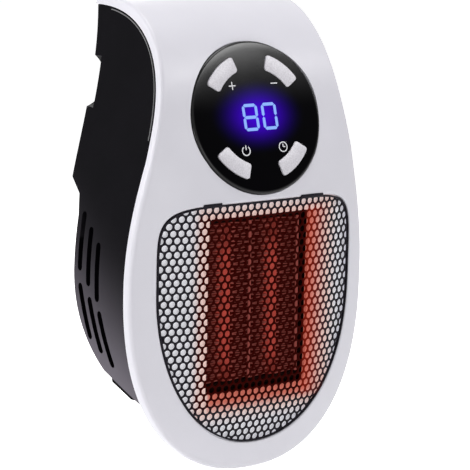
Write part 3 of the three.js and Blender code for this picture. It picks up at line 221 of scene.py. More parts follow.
def polar(radius, turn, x=0, z=0):
    """The place at a radius and a turn about another place."""
    return x + radius * math.cos(turn), z + radius * math.sin(turn)


# Meshes
def placed(name, data):
    made = bpy.data.objects.new(name, data)
    bpy.context.scene.collection.objects.link(made)
    return made


def new_object(name, points, faces):
    mesh = bpy.data.meshes.new(name)
    mesh.from_pydata((np.asarray(points, float) * MM).tolist(), [], faces)
    mesh.validate()
    mesh.update()
    return placed(name, mesh)


def loft(name, *stacks, closed=False):
    """A piece of skins over stacks of rings, with flat ends or closed on themselves, facing outward."""
    points, faces = [], []
    for rings in stacks:
        rings = np.asarray(rings, float)
        count, size = rings.shape[:2]
        first = len(points)
        points += rings.reshape(-1, 3).tolist()
        for ring in range(count if closed else count - 1):
            low = first + ring * size
            high = first + (ring + 1) % count * size
            for side in range(size):
                nearby = (side + 1) % size
                faces.append((low + side, low + nearby, high + nearby, high + side))
        if not closed:
            last = first + (count - 1) * size
            faces.append(tuple(range(first, first + size))[::-1])
            faces.append(tuple(range(last, last + size)))
    piece = new_object(name, points, faces)
    mesh = piece.data
    mesh.calc_loop_triangles()
    places = np.array([v.co for v in mesh.vertices])
    corners = np.array([t.vertices for t in mesh.loop_triangles])
    a, b, c = (places[corners[:, k]] for k in range(3))
    if np.einsum("ij,ij->i", a, np.cross(b, c)).sum() < 0:
        mesh.flip_normals()
    return piece


def apply_modifiers(piece):
    bpy.context.view_layer.update()
    graph = bpy.context.evaluated_depsgraph_get()
    mesh = bpy.data.meshes.new_from_object(piece.evaluated_get(graph))
    piece.modifiers.clear()
    old = piece.data
    piece.data = mesh
    mesh.name = piece.name
    bpy.data.meshes.remove(old)


def boolean(piece, tools, operation="DIFFERENCE"):
    for tool in tools:
        modifier = piece.modifiers.new("cut", "BOOLEAN")
        modifier.operation = operation
        modifier.solver = "EXACT"
        modifier.object = tool
    apply_modifiers(piece)
    for tool in tools:
        bpy.data.objects.remove(tool)
    return piece


def bevel(piece, width, segments=2):
    modifier = piece.modifiers.new("bevel", "BEVEL")
    modifier.width = width * MM
    modifier.segments = segments
    modifier.limit_method = "ANGLE"
    modifier.angle_limit = math.radians(35)
    modifier.harden_normals = False
    apply_modifiers(piece)
    return piece


def finish_piece(piece, material, replaced=(), angle=38, body="housing"):
    """Smooths a piece up to an angle, says what it is made of and rides on, and hides the solids that it
    replaces.
    """
    piece.data.polygons.foreach_set("use_smooth", [True] * len(piece.data.polygons))
    piece.data.set_sharp_from_angle(angle=math.radians(angle))
    piece.data.materials.clear()
    piece.data.materials.append(material)
    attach(piece, body)
    if replaced:
        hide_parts(*replaced)


def prism_y(name, outline, low, high):
    """A shape in x and z, pushed through from one depth to another."""
    return loft(name, [[(x, y, z) for x, z in outline] for y in (low, high)])


def prism_x(name, outline, half):
    """A shape in y and z, pushed through from -half to half."""
    return loft(name, [[(x, y, z) for y, z in outline] for x in (-half, half)])


def lathe(name, profile, sides=96):
    """A profile of radius and depth, turned about the Y axis; it starts and ends on the axis."""
    axis_radius = 0.001
    turns = np.linspace(0, 2 * math.pi, sides, endpoint=False)
    rings = []
    for radius, y in profile:
        radius = max(radius, axis_radius)
        rings.append([(radius * math.cos(t), y, radius * math.sin(t)) for t in turns])
    return loft(name, rings)


def bar(name, radius, low, high, x=0, z=0, sides=48):
    """A round bar along the Y axis, from one depth to another."""
    return shifted(lathe(name, [(0, low), (radius, low), (radius, high), (0, high)], sides), x, 0, z)


def cuboid(name, low, high):
    (ax, ay, az), (bx, by, bz) = low, high
    return loft(name, [[(x, ay, az), (x, by, az), (x, by, bz), (x, ay, bz)] for x in sorted((ax, bx))])


def joined(piece, other):
    """Adds another mesh to a piece and removes it."""
    mesh = bpy.data.meshes.new(piece.name)
    points = [tuple(v.co) for v in piece.data.vertices] + [tuple(v.co) for v in other.data.vertices]
    first = len(piece.data.vertices)
    faces = [tuple(f.vertices) for f in piece.data.polygons]
    faces += [tuple(first + v for v in f.vertices) for f in other.data.polygons]
    mesh.from_pydata(points, [], faces)
    mesh.update()
    piece.data = mesh
    bpy.data.objects.remove(other)
    return piece


def moved(piece, matrix):
    piece.data.transform(matrix)
    piece.data.update()
    return piece


def shifted(piece, x, y, z):
    return moved(piece, Matrix.Translation((x * MM, y * MM, z * MM)))


ONTO_PANEL = Matrix.Translation((0, PANEL_Y * MM, PANEL_Z * MM)) @ Matrix.Rotation(-PANEL_TILT, 4, "X")


# Materials, all made of nodes; each helper works in the tree of the socket that it is given
def feed(socket, value):
    """Links a socket to another node's output, or sets it to a fixed number or colour."""
    if isinstance(value, bpy.types.NodeSocket):
        socket.id_data.links.new(value, socket)
    elif socket.type == "RGBA":
        socket.default_value = (*value, 1)
    else:
        socket.default_value = value


def node(tree, kind, inputs=(), **settings):
    made = tree.nodes.new(kind)
    for key, value in settings.items():
        setattr(made, key, value)
    for key, value in dict(inputs).items():
        feed(made.inputs[key], value)
    return made


def bare_material(name):
    """A new material, and the place on the object that it shades."""
    material = bpy.data.materials.new(name)
    material.use_nodes = True
    return material, node(material.node_tree, "ShaderNodeTexCoord").outputs["Object"]


def paint(material, inputs, height=None, depth=0.0):
    """Sets the shader's inputs and, where a height is given, a relief of a depth in millimetres."""
    shader = material.node_tree.nodes["Principled BSDF"]
    for key, value in inputs.items():
        feed(shader.inputs[key], value)
    if height:
        relief = {"Distance": depth * MM, "Strength": 1.0, "Height": height}
        feed(shader.inputs["Normal"], node(material.node_tree, "ShaderNodeBump", relief).outputs["Normal"])
    return material


def axes(vector):
    """The x, y and z of a vector."""
    return node(vector.id_data, "ShaderNodeSeparateXYZ", {0: vector}).outputs


def noise(place, scale, detail=3.0, stretch=(1, 1, 1)):
    mapping = node(place.id_data, "ShaderNodeMapping", {"Scale": stretch, "Vector": place})
    inputs = {"Scale": scale, "Detail": detail, "Vector": mapping.outputs["Vector"]}
    return node(place.id_data, "ShaderNodeTexNoise", inputs).outputs["Fac"]


def between(value, low, high, to_low, to_high, smooth_step=False):
    """Takes a value from one range to another."""
    step = "SMOOTHSTEP" if smooth_step else "LINEAR"
    inputs = {"Value": value, "From Min": low, "From Max": high, "To Min": to_low, "To Max": to_high}
    return node(value.id_data, "ShaderNodeMapRange", inputs, interpolation_type=step).outputs["Result"]


def drifting(value, low=0, high=1):
    """Spreads a noise over a range."""
    return between(value, 0.3, 0.7, low, high)


def fade(value, low, high, rising):
    """A smooth step between two places in millimetres, upward or downward."""
    ends = (0, 1) if rising else (1, 0)
    return between(value, low * MM, high * MM, *ends, smooth_step=True)


def combined(operation, *values):
    """One sum of numbers and outputs, taken two at a time."""
    total = values[0]
    for value in values[1:]:
        tree = (total if isinstance(total, bpy.types.NodeSocket) else value).id_data
        total = node(tree, "ShaderNodeMath", {0: total, 1: value}, operation=operation).outputs[0]
    return total


def blend_colors(factor, first, second):
    inputs = {0: factor, 6: first, 7: second}
    return node(factor.id_data, "ShaderNodeMix", inputs, data_type="RGBA").outputs[2]


def offset_length(place, centre, spans):
    """Distance from a centre, with each axis divided by its span; an axis of span 0 doesn't count."""
    centre = [along * MM for along in centre]
    shares = [1 / (span * MM) if span else 0 for span in spans]
    tree = place.id_data
    away = node(tree, "ShaderNodeVectorMath", {0: place, 1: centre}, operation="SUBTRACT").outputs[0]
    scaled = node(tree, "ShaderNodeVectorMath", {0: away, 1: shares}, operation="MULTIPLY").outputs[0]
    return node(tree, "ShaderNodeVectorMath", {0: scaled}, operation="LENGTH").outputs["Value"]


def surface(name, color, roughness, metallic=0.0, tint=0.06, grain=1800.0, depth=0.012, coat=0.0,
            spread=0.08, stretch=(1, 1, 1), shine=0.5, fleck=0.0):
    """A moulded or machined surface: faint colour drift, uneven roughness and a fine grain."""
    material, place = bare_material(name)
    dark = tuple(channel * (1 - tint) for channel in color)
    light = tuple(min(1.0, channel * (1 + tint)) for channel in color)
    mixed = blend_colors(drifting(noise(place, 45.0, 4.0)), dark, light)
    if fleck:
        speck = between(noise(place, 1700.0, 1.0), 0.35, 0.65, 0, fleck)
        mixed = blend_colors(speck, mixed, tuple(channel * 0.5 for channel in color))
    wear = noise(place, 160.0, 5.0, stretch)
    inputs = {
        "Base Color": mixed,
        "Roughness": drifting(wear, roughness - spread / 2, roughness + spread / 2),
        "Metallic": metallic,
        "Specular IOR Level": shine,
    }
    if coat:
        inputs |= {"Coat Weight": coat, "Coat Roughness": 0.06}
    return paint(material, inputs, noise(place, grain, 2.0, stretch), depth)


def digit_material():
    """The display's light, a little uneven."""
    material, place = bare_material("digit_glow")
    return paint(material, {
        "Base Color": (0.027, 0.046, 0.1),
        "Specular IOR Level": 0.1,
        "Roughness": 0.4,
        "Emission Color": (0.27, 0.46, 1.0),
        "Emission Strength": drifting(noise(place, 900.0, 2.0), 0.874, 0.95),
    })


def panel_material():
    """Polished black, its shine raised towards the top as a painted sheen and at the rim as a painted
    highlight, with the display's blue glow under it.
    """
    material, place = bare_material("panel_gloss")
    # Painted sheen: the shine rises towards the top of the panel
    upper = fade(axes(place)["Z"], PANEL_Z + 2, PANEL_Z + 30, True)
    radial = offset_length(place, (0, 0, PANEL_Z), (PANEL_RADIUS, 0, PANEL_RADIUS * 0.96))
    # Painted highlight: the shine rises in a thin ring at the rim
    rim = between(radial, 0.955, 0.985, 0, 0.25, True)
    glow = offset_length(place, (0.2, 0, PANEL_Z + 0.7), (26, 0, 17))
    return paint(material, {
        "Base Color": (0.0006, 0.0005, 0.001),
        "Specular IOR Level": combined("MAXIMUM", between(upper, 0, 1, 0.02, 0.31), rim),
        "Roughness": drifting(noise(place, 90.0, 5.0), 0.15, 0.19),
        "Emission Color": (0.05, 0.0, 0.62),
        "Emission Strength": combined("POWER", between(glow, 0.05, 1.0, 1.0, 0.0, True), 2.0),
    }, noise(place, 60.0, 2.0), 0.01)


def glow_zone(place, left, right, low, top):
    """1 round the core's window, fading to 0 outside it: where its red light falls."""
    x, _, z = axes(place)
    return combined("MULTIPLY", fade(x, *right, False), fade(x, *left, True), fade(z, *top, False),
                    fade(z, *low, True))


def tray_material():
    """White reflector with the core's red light painted round the window, a painted pink fringe beyond it and
    a painted glow all over it.
    """
    material, place = bare_material("reflector_enamel")
    lit = glow_zone(place, (-CORE_HALF, 2.5 - CORE_HALF), (CORE_HALF, CORE_HALF + 13),
                    (CORE_BOTTOM_Z - 10, CORE_BOTTOM_Z - 3), (CORE_TOP_Z - 1, CORE_TOP_Z + 0.6))
    x, _, z = axes(place)
    left = combined("SUBTRACT", -CORE_HALF * MM, x)
    right = combined("SUBTRACT", x, (CORE_HALF + 10) * MM)
    up = combined("SUBTRACT", z, CORE_TOP_Z * MM)
    down = combined("SUBTRACT", (CORE_BOTTOM_Z - 6) * MM, z)
    # Painted red light: a pink fringe that fades out round the window
    painted_red_fringe = fade(combined("MAXIMUM", left, right, up, down), 1, 9, False)
    pale = blend_colors(painted_red_fringe, (0.82, 0.82, 0.87), (0.93, 0.66, 0.60))
    painted_glow_color = blend_colors(lit, pale, (0.66, 0.17, 0.12))
    return paint(material, {
        "Base Color": painted_glow_color,
        "Emission Color": painted_glow_color,
        # Painted glow: the whole tray emits its own colour so that it looks brighter
        "Emission Strength": 0.40,
        "Specular IOR Level": 0.2,
        "Roughness": drifting(noise(place, 300.0), 0.3, 0.45),
    }, noise(place, 1500.0), 0.01)


def cover_material():
    """Black moulding with a painted grey sheen that grows towards the heel, on its outer side only."""
    material, place = bare_material("cover_black")
    x, y, z = axes(place)
    lowness = combined("SUBTRACT", combined("MULTIPLY", y, 0.55), z)
    normal = node(place.id_data, "ShaderNodeTexCoord").outputs["Normal"]
    side = fade(combined("MULTIPLY", axes(normal)["X"], x), 20, 35, True)
    around = offset_length(place, (0, -STANDOFF - HEEL_RADIUS, HEEL_Z), (0, HEEL_RADIUS, HEEL_RADIUS))
    outside = combined("MAXIMUM", side, between(around, 0.975, 0.985, 0, 1, True))
    # Painted sheen: the base colour turns grey towards the heel, on the outer side only
    painted_heel_sheen = combined("MULTIPLY", combined("POWER", fade(lowness, 20, 112, True), 2.0), outside)
    drift = drifting(noise(place, 60.0, 4.0))
    black = blend_colors(drift, (0.0014, 0.0012, 0.0022), (0.0022, 0.0018, 0.0032))
    return paint(material, {
        "Base Color": blend_colors(painted_heel_sheen, black, (0.13, 0.118, 0.14)),
        "Specular IOR Level": 0.012,
        "Roughness": drifting(noise(place, 160.0, 5.0), 0.38, 0.46),
    }, noise(place, 2600.0, 2.0), 0.02)


def net_material():
    """Black enamel that catches a little of the core's red light."""
    material, place = bare_material("mesh_enamel")
    zone = glow_zone(place, (-CORE_HALF - 8, -CORE_HALF - 5), (CORE_HALF - 1, CORE_HALF + 12),
                     (CORE_BOTTOM_Z - 8, CORE_BOTTOM_Z - 3), (CORE_TOP_Z, CORE_TOP_Z + 4))
    drift = noise(place, 300.0)
    dark = blend_colors(drifting(drift), (0.007, 0.006, 0.010), (0.012, 0.010, 0.016))
    beside = fade(axes(place)["X"], CORE_HALF - 4.5, CORE_HALF - 2, True)
    return paint(material, {
        "Base Color": blend_colors(zone, dark, (0.002, 0.0003, 0.0002)),
        "Specular IOR Level": between(zone, 0, 1, 0.08, 0.01),
        "Roughness": drifting(drift, 0.32, 0.45),
        "Emission Color": blend_colors(beside, (0.026, 0.0008, 0.0003), (0.16, 0.009, 0.003)),
        "Emission Strength": zone,
    }, noise(place, 2200.0), 0.01)


def fin_material(name, edge):
    """Folded foil in painted red light from the hot strips: paler painted light on the front edges over a
    dark red depth, brighter near the strips.
    """
    material, place = bare_material(name)
    x, y, _ = axes(place)
    width = combined("ABSOLUTE", x, 0.0)
    away = combined("ABSOLUTE", combined("SUBTRACT", width, STRIP_X * MM), 0.0)
    # Painted light: colour and glow rise near the hot strips
    painted_strip_light = fade(away, 1.5, 8, False)
    # Painted light on the front edges of the folds
    front = fade(y, CORE_FRONT_Y + 0.2, CORE_FRONT_Y + 1.4, False)
    return paint(material, {
        "Base Color": blend_colors(painted_strip_light, (0.05, 0.010, 0.008), (0.07, 0.010, 0.007)),
        "Metallic": 0.3,
        "Specular IOR Level": 0.1,
        "Roughness": drifting(noise(place, 700.0), 0.3, 0.5),
        "Emission Color": blend_colors(front, (0.022, 0.0008, 0.0004), edge),
        "Emission Strength": between(painted_strip_light, 0, 1, 0.75, 1.25),
    }, noise(place, 1200.0), 0.02)


def strip_material():
    """Glowing strip, hottest along its middle stretch."""
    material, place = bare_material("strip_glow")
    z = axes(place)["Z"]
    middle = combined("MULTIPLY", fade(z, -74, -62, False), fade(z, -122, -113, True))
    patchy = drifting(noise(place, 260.0), 0.75, 1.1)
    return paint(material, {
        "Base Color": (0.20, 0.02, 0.012),
        "Roughness": 0.6,
        "Specular IOR Level": 0.2,
        "Emission Color": (0.28, 0.038, 0.028),
        "Emission Strength": combined("MULTIPLY", between(middle, 0, 1, 0.2, 1.0), patchy),
    }, noise(place, 500.0), 0.03)


SHELL = surface("shell_white", (0.66, 0.65, 0.705), 0.38, tint=0.015, grain=900.0, depth=0.006, spread=0.06,
                shine=0.35)
COVER = cover_material()
# Grey, far lighter than the black cover: a painted highlight along the cover's edge
EDGE_HIGHLIGHT = surface("cover_edge_highlight", (0.10, 0.10, 0.103), 0.35, tint=0.12)
RUBBER = surface("foot_rubber", (0.002, 0.002, 0.0022), 0.7, tint=0.12, grain=2600.0, depth=0.02, shine=0.01)
PANEL = panel_material()
BUTTON = surface("button_silver", (0.66, 0.64, 0.69), 0.36, tint=0.05, grain=3200.0, depth=0.02, shine=0.6,
                 fleck=0.35)
MARK = surface("print_white", (0.75, 0.75, 0.78), 0.5, tint=0.05)
ROCKER_GLOSS = surface("rocker_gloss", (0.008, 0.008, 0.009), 0.22, tint=0.1, coat=0.3)
MESH_BLACK = net_material()
TRAY = tray_material()
# Fins and plates glow with painted red light; the second colour is the painted light on their front edges
FIN = fin_material("fin_foil", (0.14, 0.032, 0.026))
PLATE = fin_material("core_plate", (0.26, 0.060, 0.050))
STRIP = strip_material()
HOT_PLASTIC = surface("heat_plastic", (0.012, 0.004, 0.003), 0.55, tint=0.15, shine=0.02)
FAN_PLASTIC = surface("fan_plastic", (0.020, 0.020, 0.024), 0.45, tint=0.12)
STEEL = surface("plain_steel", (0.55, 0.55, 0.57), 0.32, metallic=1.0, tint=0.05, stretch=(1, 12, 1))
BRASS = surface("blade_brass", (0.72, 0.55, 0.28), 0.30, metallic=1.0, stretch=(1, 1, 14))
BOARD = surface("board_green", (0.020, 0.11, 0.045), 0.45, tint=0.2, grain=700.0, depth=0.03)
BLUE_CASE = surface("case_blue", (0.03, 0.07, 0.22), 0.4, tint=0.08)
SMOKE = surface("display_smoke", (0.010, 0.012, 0.030), 0.2, tint=0.05)
LEAD = surface("lead_red", (0.30, 0.03, 0.02), 0.5, tint=0.1)
DIGIT = digit_material()


# White front shell
def shell_loft(name, stages, columns, inset=0.0, drop=0.0, back=0.0):
    """The solid between the seam and the face, with its edge rounded all round."""
    fillet = 1.5
    side_share = 0.9995
    side_height = (RIM - fillet) * 0.5
    rings = []
    for stage in stages:
        y, z, out_y, out_z = off_seam(stage, inset)
        half = half_at(z, inset)
        x = half * np.sin(np.linspace(-1, 1, columns) * QUARTER_TURN) * side_share
        near = np.clip(fillet - edge_distance(x, z), 0, fillet)
        height = face_height(x, z) - (fillet - np.sqrt(fillet**2 - near**2)) - drop
        section = [(-half, -back), (-half, side_height), *zip(x, height), (half, side_height), (half, -back)]
        rings.append([(px, y + out_y * h, z + out_z * h) for px, h in section])
    return loft(name, rings)


def grille_outline(inset=0.0, steps=44):
    half = GRILLE_HALF - inset
    rise = GRILLE_TOP_Z - GRILLE_MID_Z - inset
    fall = GRILLE_MID_Z - GRILLE_BOTTOM_Z - inset
    points = []
    for step in range(4 * steps):
        turn = step / steps * QUARTER_TURN
        upper = math.sin(turn) >= 0
        power = 2 / (GRILLE_TOP_POWER if upper else GRILLE_BOTTOM_POWER)
        x = half * math.copysign(abs(math.cos(turn)) ** power, math.cos(turn))
        z = (rise if upper else -fall) * abs(math.sin(turn)) ** power
        points.append((x, GRILLE_MID_Z + z))
    return np.array(points)


def on_face(outline, behind):
    """Lays a flat outline on the face, or behind it."""
    x, z = outline[:, 0], outline[:, 1]
    return np.column_stack([x, face_y(x, z) + behind, z])


def bent_rings(sections, steps=44):
    """Rings round the grille: each section is an inset and a depth behind the face."""
    return [on_face(grille_outline(inset, steps), behind) for inset, behind in sections]


def front_shell():
    hood = [step / 36 for step in range(36)]
    lower = [1 + step / 84 for step in range(84)] + [1.994]
    outer = shell_loft("front_shell_skin", hood + lower, 90)
    lip_stage = math.asin((WALL / SEAM_DEPTH) ** (HOOD_POWER / 2)) / QUARTER_TURN
    inner_stages = [lip_stage] + [s for s in hood[1::2] if s > lip_stage + 0.01] + lower[:-2:2] + [1.98]
    inner = shell_loft("cavity", inner_stages, 40, WALL, WALL, OVERRUN)
    lip = 0.9
    sections = [(-lip, -8)]
    for behind in np.linspace(0, lip, 6):
        sections.append((math.sqrt(max(0.0, lip**2 - (lip - behind) ** 2)) - lip, behind))
    sections.append((0, 30))
    opening = loft("opening", bent_rings(sections))
    seat = bar("seat", PANEL_RADIUS + GAP, -SEAM_DEPTH, PANEL_LIP + GAP, sides=128)
    hole = bar("seat_hole", PANEL_RADIUS - SKIRT_INSET + GAP, -SEAM_DEPTH, SEAM_DEPTH / 2, sides=128)
    boolean(outer, [inner, opening, moved(seat, ONTO_PANEL), moved(hole, ONTO_PANEL)])
    finish_piece(outer, SHELL, ["front_shell"], 32)


front_shell()


# Black rear cover
def side_profile(inset):
    """The cover's outline from the side: down along the seam, round the heel and up the wall face."""
    heel_margin = 0.6
    heel_turn = math.acos(1 - (SEAM_DEPTH - CHIN_DRAW - heel_margin - STANDOFF) / HEEL_RADIUS)
    rise = OVERRUN if inset > 0 else -GAP
    last_z = UNDERSIDE_Z - 2 * UNDERSIDE_ARCH
    points = []
    for stage in np.linspace(0, stage_at(last_z), 71):
        y, z, out_y, out_z = off_seam(stage)
        points.append((min(y + out_y * rise, -inset), z + out_z * rise))
    radius = HEEL_RADIUS - inset
    centre_y = -STANDOFF - HEEL_RADIUS
    points.append((centre_y + radius * math.cos(heel_turn), last_z))
    points += [polar(radius, -turn, centre_y, HEEL_Z) for turn in np.linspace(heel_turn, 0, 25)]
    points.append((-STANDOFF - inset, STANDOFF_Z))
    points.append((-STEP_DEPTH - inset, STEP_Z))
    points.append((-inset, WALL_FACE_LOW_Z + inset / 2))
    return points


def outline_prism(inset):
    """The body's outline from the front, pushed through and narrower towards the wall."""
    right = []
    for turn in np.linspace(0, QUARTER_TURN, 61):
        z = TOP_Z - (TOP_Z - CHIN_Z - inset) * math.sin(turn)
        right.append((half_at(z, inset), z))
    left = [(-x, z) for x, z in right[:-1]][::-1]
    crest = [(left[-1][0], TOP_Z + OVERRUN), (right[0][0], TOP_Z + OVERRUN)]
    rings = []
    for y in (-2 * SEAM_DEPTH, -SEAM_DEPTH, OVERRUN):
        narrowed = 1 - SIDE_DRAFT / BODY_HALF * max(0, 1 + y / SEAM_DEPTH)
        rings.append([(x * narrowed, y, z) for x, z in right + left + crest])
    return loft("outline", rings)


def arch_drop(x):
    return UNDERSIDE_ARCH * (1 - (x / BODY_HALF) ** 2)


def slanted(points):
    """Takes places from the underside's own frame to the body's."""
    cosine, sine = polar(1, UNDERSIDE_ANGLE)
    turned = [(x, -y * sine - z * cosine, y * cosine - z * sine) for x, y, z in points]
    return [(x, UNDERSIDE_Y + y, UNDERSIDE_Z + z) for x, y, z in turned]


def above_underside(inset):
    reach = 2 * SEAM_DEPTH
    thickness = 2 * (TOP_Z - CHIN_Z)
    across = np.linspace(-1, 1, 33) * (BODY_HALF + OVERRUN)
    lower = [(x, inset - arch_drop(x)) for x in across]
    upper = [(x, y + thickness) for x, y in lower][::-1]
    return loft("above", [slanted([(x, y, end) for x, y in lower + upper]) for end in (-reach, reach)])


def chin_plate():
    """The plate that closes the chin below the underside."""
    behind, ahead = 1.2, -0.9
    rings = []
    for stage in np.linspace(stage_at(UNDERSIDE_Z), 1.99, 41):
        y, z = seam_point(stage, WALL + GAP)
        half = half_at(z, WALL + GAP)
        corners = ((-half, behind), (half, behind), (half, ahead), (-half, ahead))
        rings.append([(x, y + depth, z) for x, depth in corners])
    return boolean(loft("chin_plate", rings), [above_underside(WALL)])


def rounded_slot(length, width, steps=8):
    straight = length / 2 - width / 2
    points = []
    for centre, start in ((straight, 0), (-straight, math.pi)):
        for turn in np.linspace(start, start + math.pi, steps + 1):
            points.append(polar(width / 2, turn, 0, centre))
    return points


def side_slots():
    """Two rows of louvres in each side: depth of the first, its height, length, steps and lean."""
    width = 3.6
    through = 8
    slots = []
    rows = (
        (STANDOFF + 4.9, -66.6, 25.2, 7.1, 5.5, 0.0),
        (STANDOFF + 8.1, -96.1, 24.3, 7.65, 4.75, math.radians(15)),
    )
    for depth, top_z, length, step_y, step_z, lean in rows:
        for column in range(3):
            y = -depth - column * step_y
            z = top_z - column * step_z
            x = half_at(z) - through / 2
            for side, _ in SIDES:
                slot = prism_x("slot", rounded_slot(length, width), through)
                slots.append(shifted(moved(slot, Matrix.Rotation(-lean, 4, "X")), side * x, y, z))
    return slots


def intake_slots():
    """Upright slots in a round field behind the fan."""
    count = 8
    pitch = 6
    field = 26
    width = 2.8
    fan_z = (CORE_TOP_Z + CORE_BOTTOM_Z) / 2 + 7
    slots = []
    for column in range(count):
        x = (column - (count - 1) / 2) * pitch
        length = 2 * math.sqrt(field**2 - x**2)
        outline = [(x + px, fan_z + pz) for px, pz in rounded_slot(length, width)]
        slots.append(prism_y("intake", outline, -STANDOFF - HEEL_RADIUS / 4, 0))
    return slots


TOP_SCREW_Z = 18.0
TOP_SCREW_X = half_at(TOP_SCREW_Z) - SIDE_DRAFT - WALL - GAP - 3.6
CHIN_SCREW_Z = CHIN_Z + 0.18 * (WIDEST_Z - CHIN_Z)
CHIN_SCREW_X = 0.775 * half_at(CHIN_SCREW_Z)


def rocker_seat():
    """Takes the rocker's own frame to its seat in the leaning side wall."""
    tall = 7.2
    proud = 0.5
    above = half_at(ROCKER_Z + tall)
    below = half_at(ROCKER_Z - tall)
    lean = math.atan2(below - above, 2 * tall)
    x = (above + below) / 2 - SIDE_DRAFT / 2 + proud
    return Matrix.Translation((x * MM, ROCKER_Y * MM, ROCKER_Z * MM)) @ Matrix.Rotation(-lean, 4, "Y")


ONTO_ROCKER = rocker_seat()


def rear_cover():
    cover = prism_x("rear_cover_skin", side_profile(0), BODY_HALF + OVERRUN)
    boolean(cover, [outline_prism(0), above_underside(0)], "INTERSECT")
    hollow = prism_x("hollow", side_profile(WALL), BODY_HALF)
    boolean(hollow, [outline_prism(WALL), above_underside(WALL)], "INTERSECT")
    boolean(cover, [hollow])
    edge = half_at(0) - SIDE_DRAFT
    radius = ((NOTCH_TALL / 2) ** 2 + NOTCH_SCOOP**2) / (2 * NOTCH_SCOOP)
    reach = NOTCH_TALL / 2 + WALL
    cuts = []
    for side, _ in SIDES:
        liner = cuboid("liner", (side * (edge - 0.4), -NOTCH_DEEP - WALL, -reach),
                       (side * (edge - NOTCH_SCOOP - WALL), -0.02, reach))
        boolean(cover, [boolean(liner, [outline_prism(0.2)], "INTERSECT")], "UNION")
        cuts += [bar("scoop", radius, -NOTCH_DEEP, OVERRUN, side * (edge - NOTCH_SCOOP + radius), 0, 96),
                 bar("well", 3.1, -3.1, OVERRUN, side * TOP_SCREW_X, TOP_SCREW_Z),
                 bar("chin_hole", 1.7, PANEL_Y, 0, side * CHIN_SCREW_X, CHIN_SCREW_Z)]
    boolean(cover, [chin_plate()], "UNION")
    cuts += [bar("disc_seat", DISC_RADIUS + GAP, -1.4, OVERRUN, sides=128),
             bar("disc_hole", DISC_RADIUS - 2 + GAP, -WALL - OVERRUN, OVERRUN, sides=128),
             moved(cuboid("rocker_hole", (-10, -5.1, -7.5), (10, 5.1, 7.5)), ONTO_ROCKER)]
    boolean(cover, cuts + side_slots() + intake_slots())
    finish_piece(cover, COVER, ["rear_cover"], 28)


def edge_beads():
    """Thin beads along the cover's edge, where it meets the hood, in a lighter grey: a painted highlight
    line.
    """
    thick = 0.28
    behind_seam = 1.3
    turns = np.linspace(0, 2 * math.pi, 10, endpoint=False)
    for side, word in SIDES:
        rings = []
        for stage in np.linspace(0.08, 0.95, 60):
            y, z, out_y, out_z = off_seam(stage)
            y -= out_y * behind_seam
            z -= out_z * behind_seam
            x = half_at(z) * (1 - SIDE_DRAFT / BODY_HALF * (1 + y / SEAM_DEPTH))
            spots = [polar(thick, turn, x) for turn in turns]
            rings.append([(side * across, y + out_y * out, z + out_z * out) for across, out in spots])
        finish_piece(loft(f"edge_bead_{word}", rings), EDGE_HIGHLIGHT)


rear_cover()
edge_beads()


# Grille: fine honeycomb net and its frame
def honeycomb():
    """A sheet of hexagonal cells that share their edges, each with a round hole."""
    pitch = 3.4
    hole_radius = 1.37
    row_step = pitch * math.sqrt(3) / 2
    turned = [math.pi / 6 * corner for corner in range(12)]
    outer_radii = [pitch / 2 / max(abs(math.cos(a - math.pi / 3 * k)) for k in range(6)) for a in turned]
    # From the cell's edge to its hole, with a rounded web between, and back to the edge
    blends = ((0.0, 0.0), (0.45, 0.05), (0.8, 0.18), (1.0, 0.42), (1.0, 0.8), (0.0, 0.85))
    rows = int((GRILLE_TOP_Z - GRILLE_BOTTOM_Z) / row_step) + 2
    columns = int(GRILLE_HALF / pitch) + 2
    points, faces, index = [], [], {}

    def held_inside(x, z):
        """A place of the net, pulled back to the rim from beyond it, and its share of the way there."""
        rise = z > GRILLE_MID_Z
        power = GRILLE_TOP_POWER if rise else GRILLE_BOTTOM_POWER
        reach = (GRILLE_TOP_Z - GRILLE_MID_Z if rise else GRILLE_MID_Z - GRILLE_BOTTOM_Z) - FRAME_WIDTH
        across = abs(x) / (GRILLE_HALF - FRAME_WIDTH)
        share = (across**power + (abs(z - GRILLE_MID_Z) / reach) ** power) ** (1 / power)
        beyond = max(1, share)
        return x / beyond, GRILLE_MID_Z + (z - GRILLE_MID_Z) / beyond, share

    def point_at(x, z, depth):
        key = (round(x, 3), round(z, 3), depth)
        if key not in index:
            index[key] = len(points)
            points.append((x, float(face_y(x, z)) + NET_RECESS + depth, z))
        return index[key]

    for row in range(rows):
        z = GRILLE_TOP_Z - FRAME_WIDTH - 0.4 * pitch - row * row_step
        for column in range(-columns, columns + 1):
            x = (column + (0.5 if row % 2 else 0)) * pitch
            cell = []
            for blend, depth in blends:
                radii = [outer + (hole_radius - outer) * blend for outer in outer_radii]
                cell.append([held_inside(*polar(radius, turn, x, z)) for radius, turn in zip(radii, turned)])
            if min(share for ring in cell for _, _, share in ring) >= 1:
                continue
            rings = [[point_at(*spot[:2], depth) for spot in ring] for ring, (_, depth) in zip(cell, blends)]
            for low, high in zip(rings[:-1], rings[1:]):
                for corner in range(12):
                    nearby = (corner + 1) % 12
                    face = tuple(dict.fromkeys((low[corner], low[nearby], high[nearby], high[corner])))
                    if len(face) >= 3:
                        faces.append(face)
    return new_object("grille_mesh", points, faces)


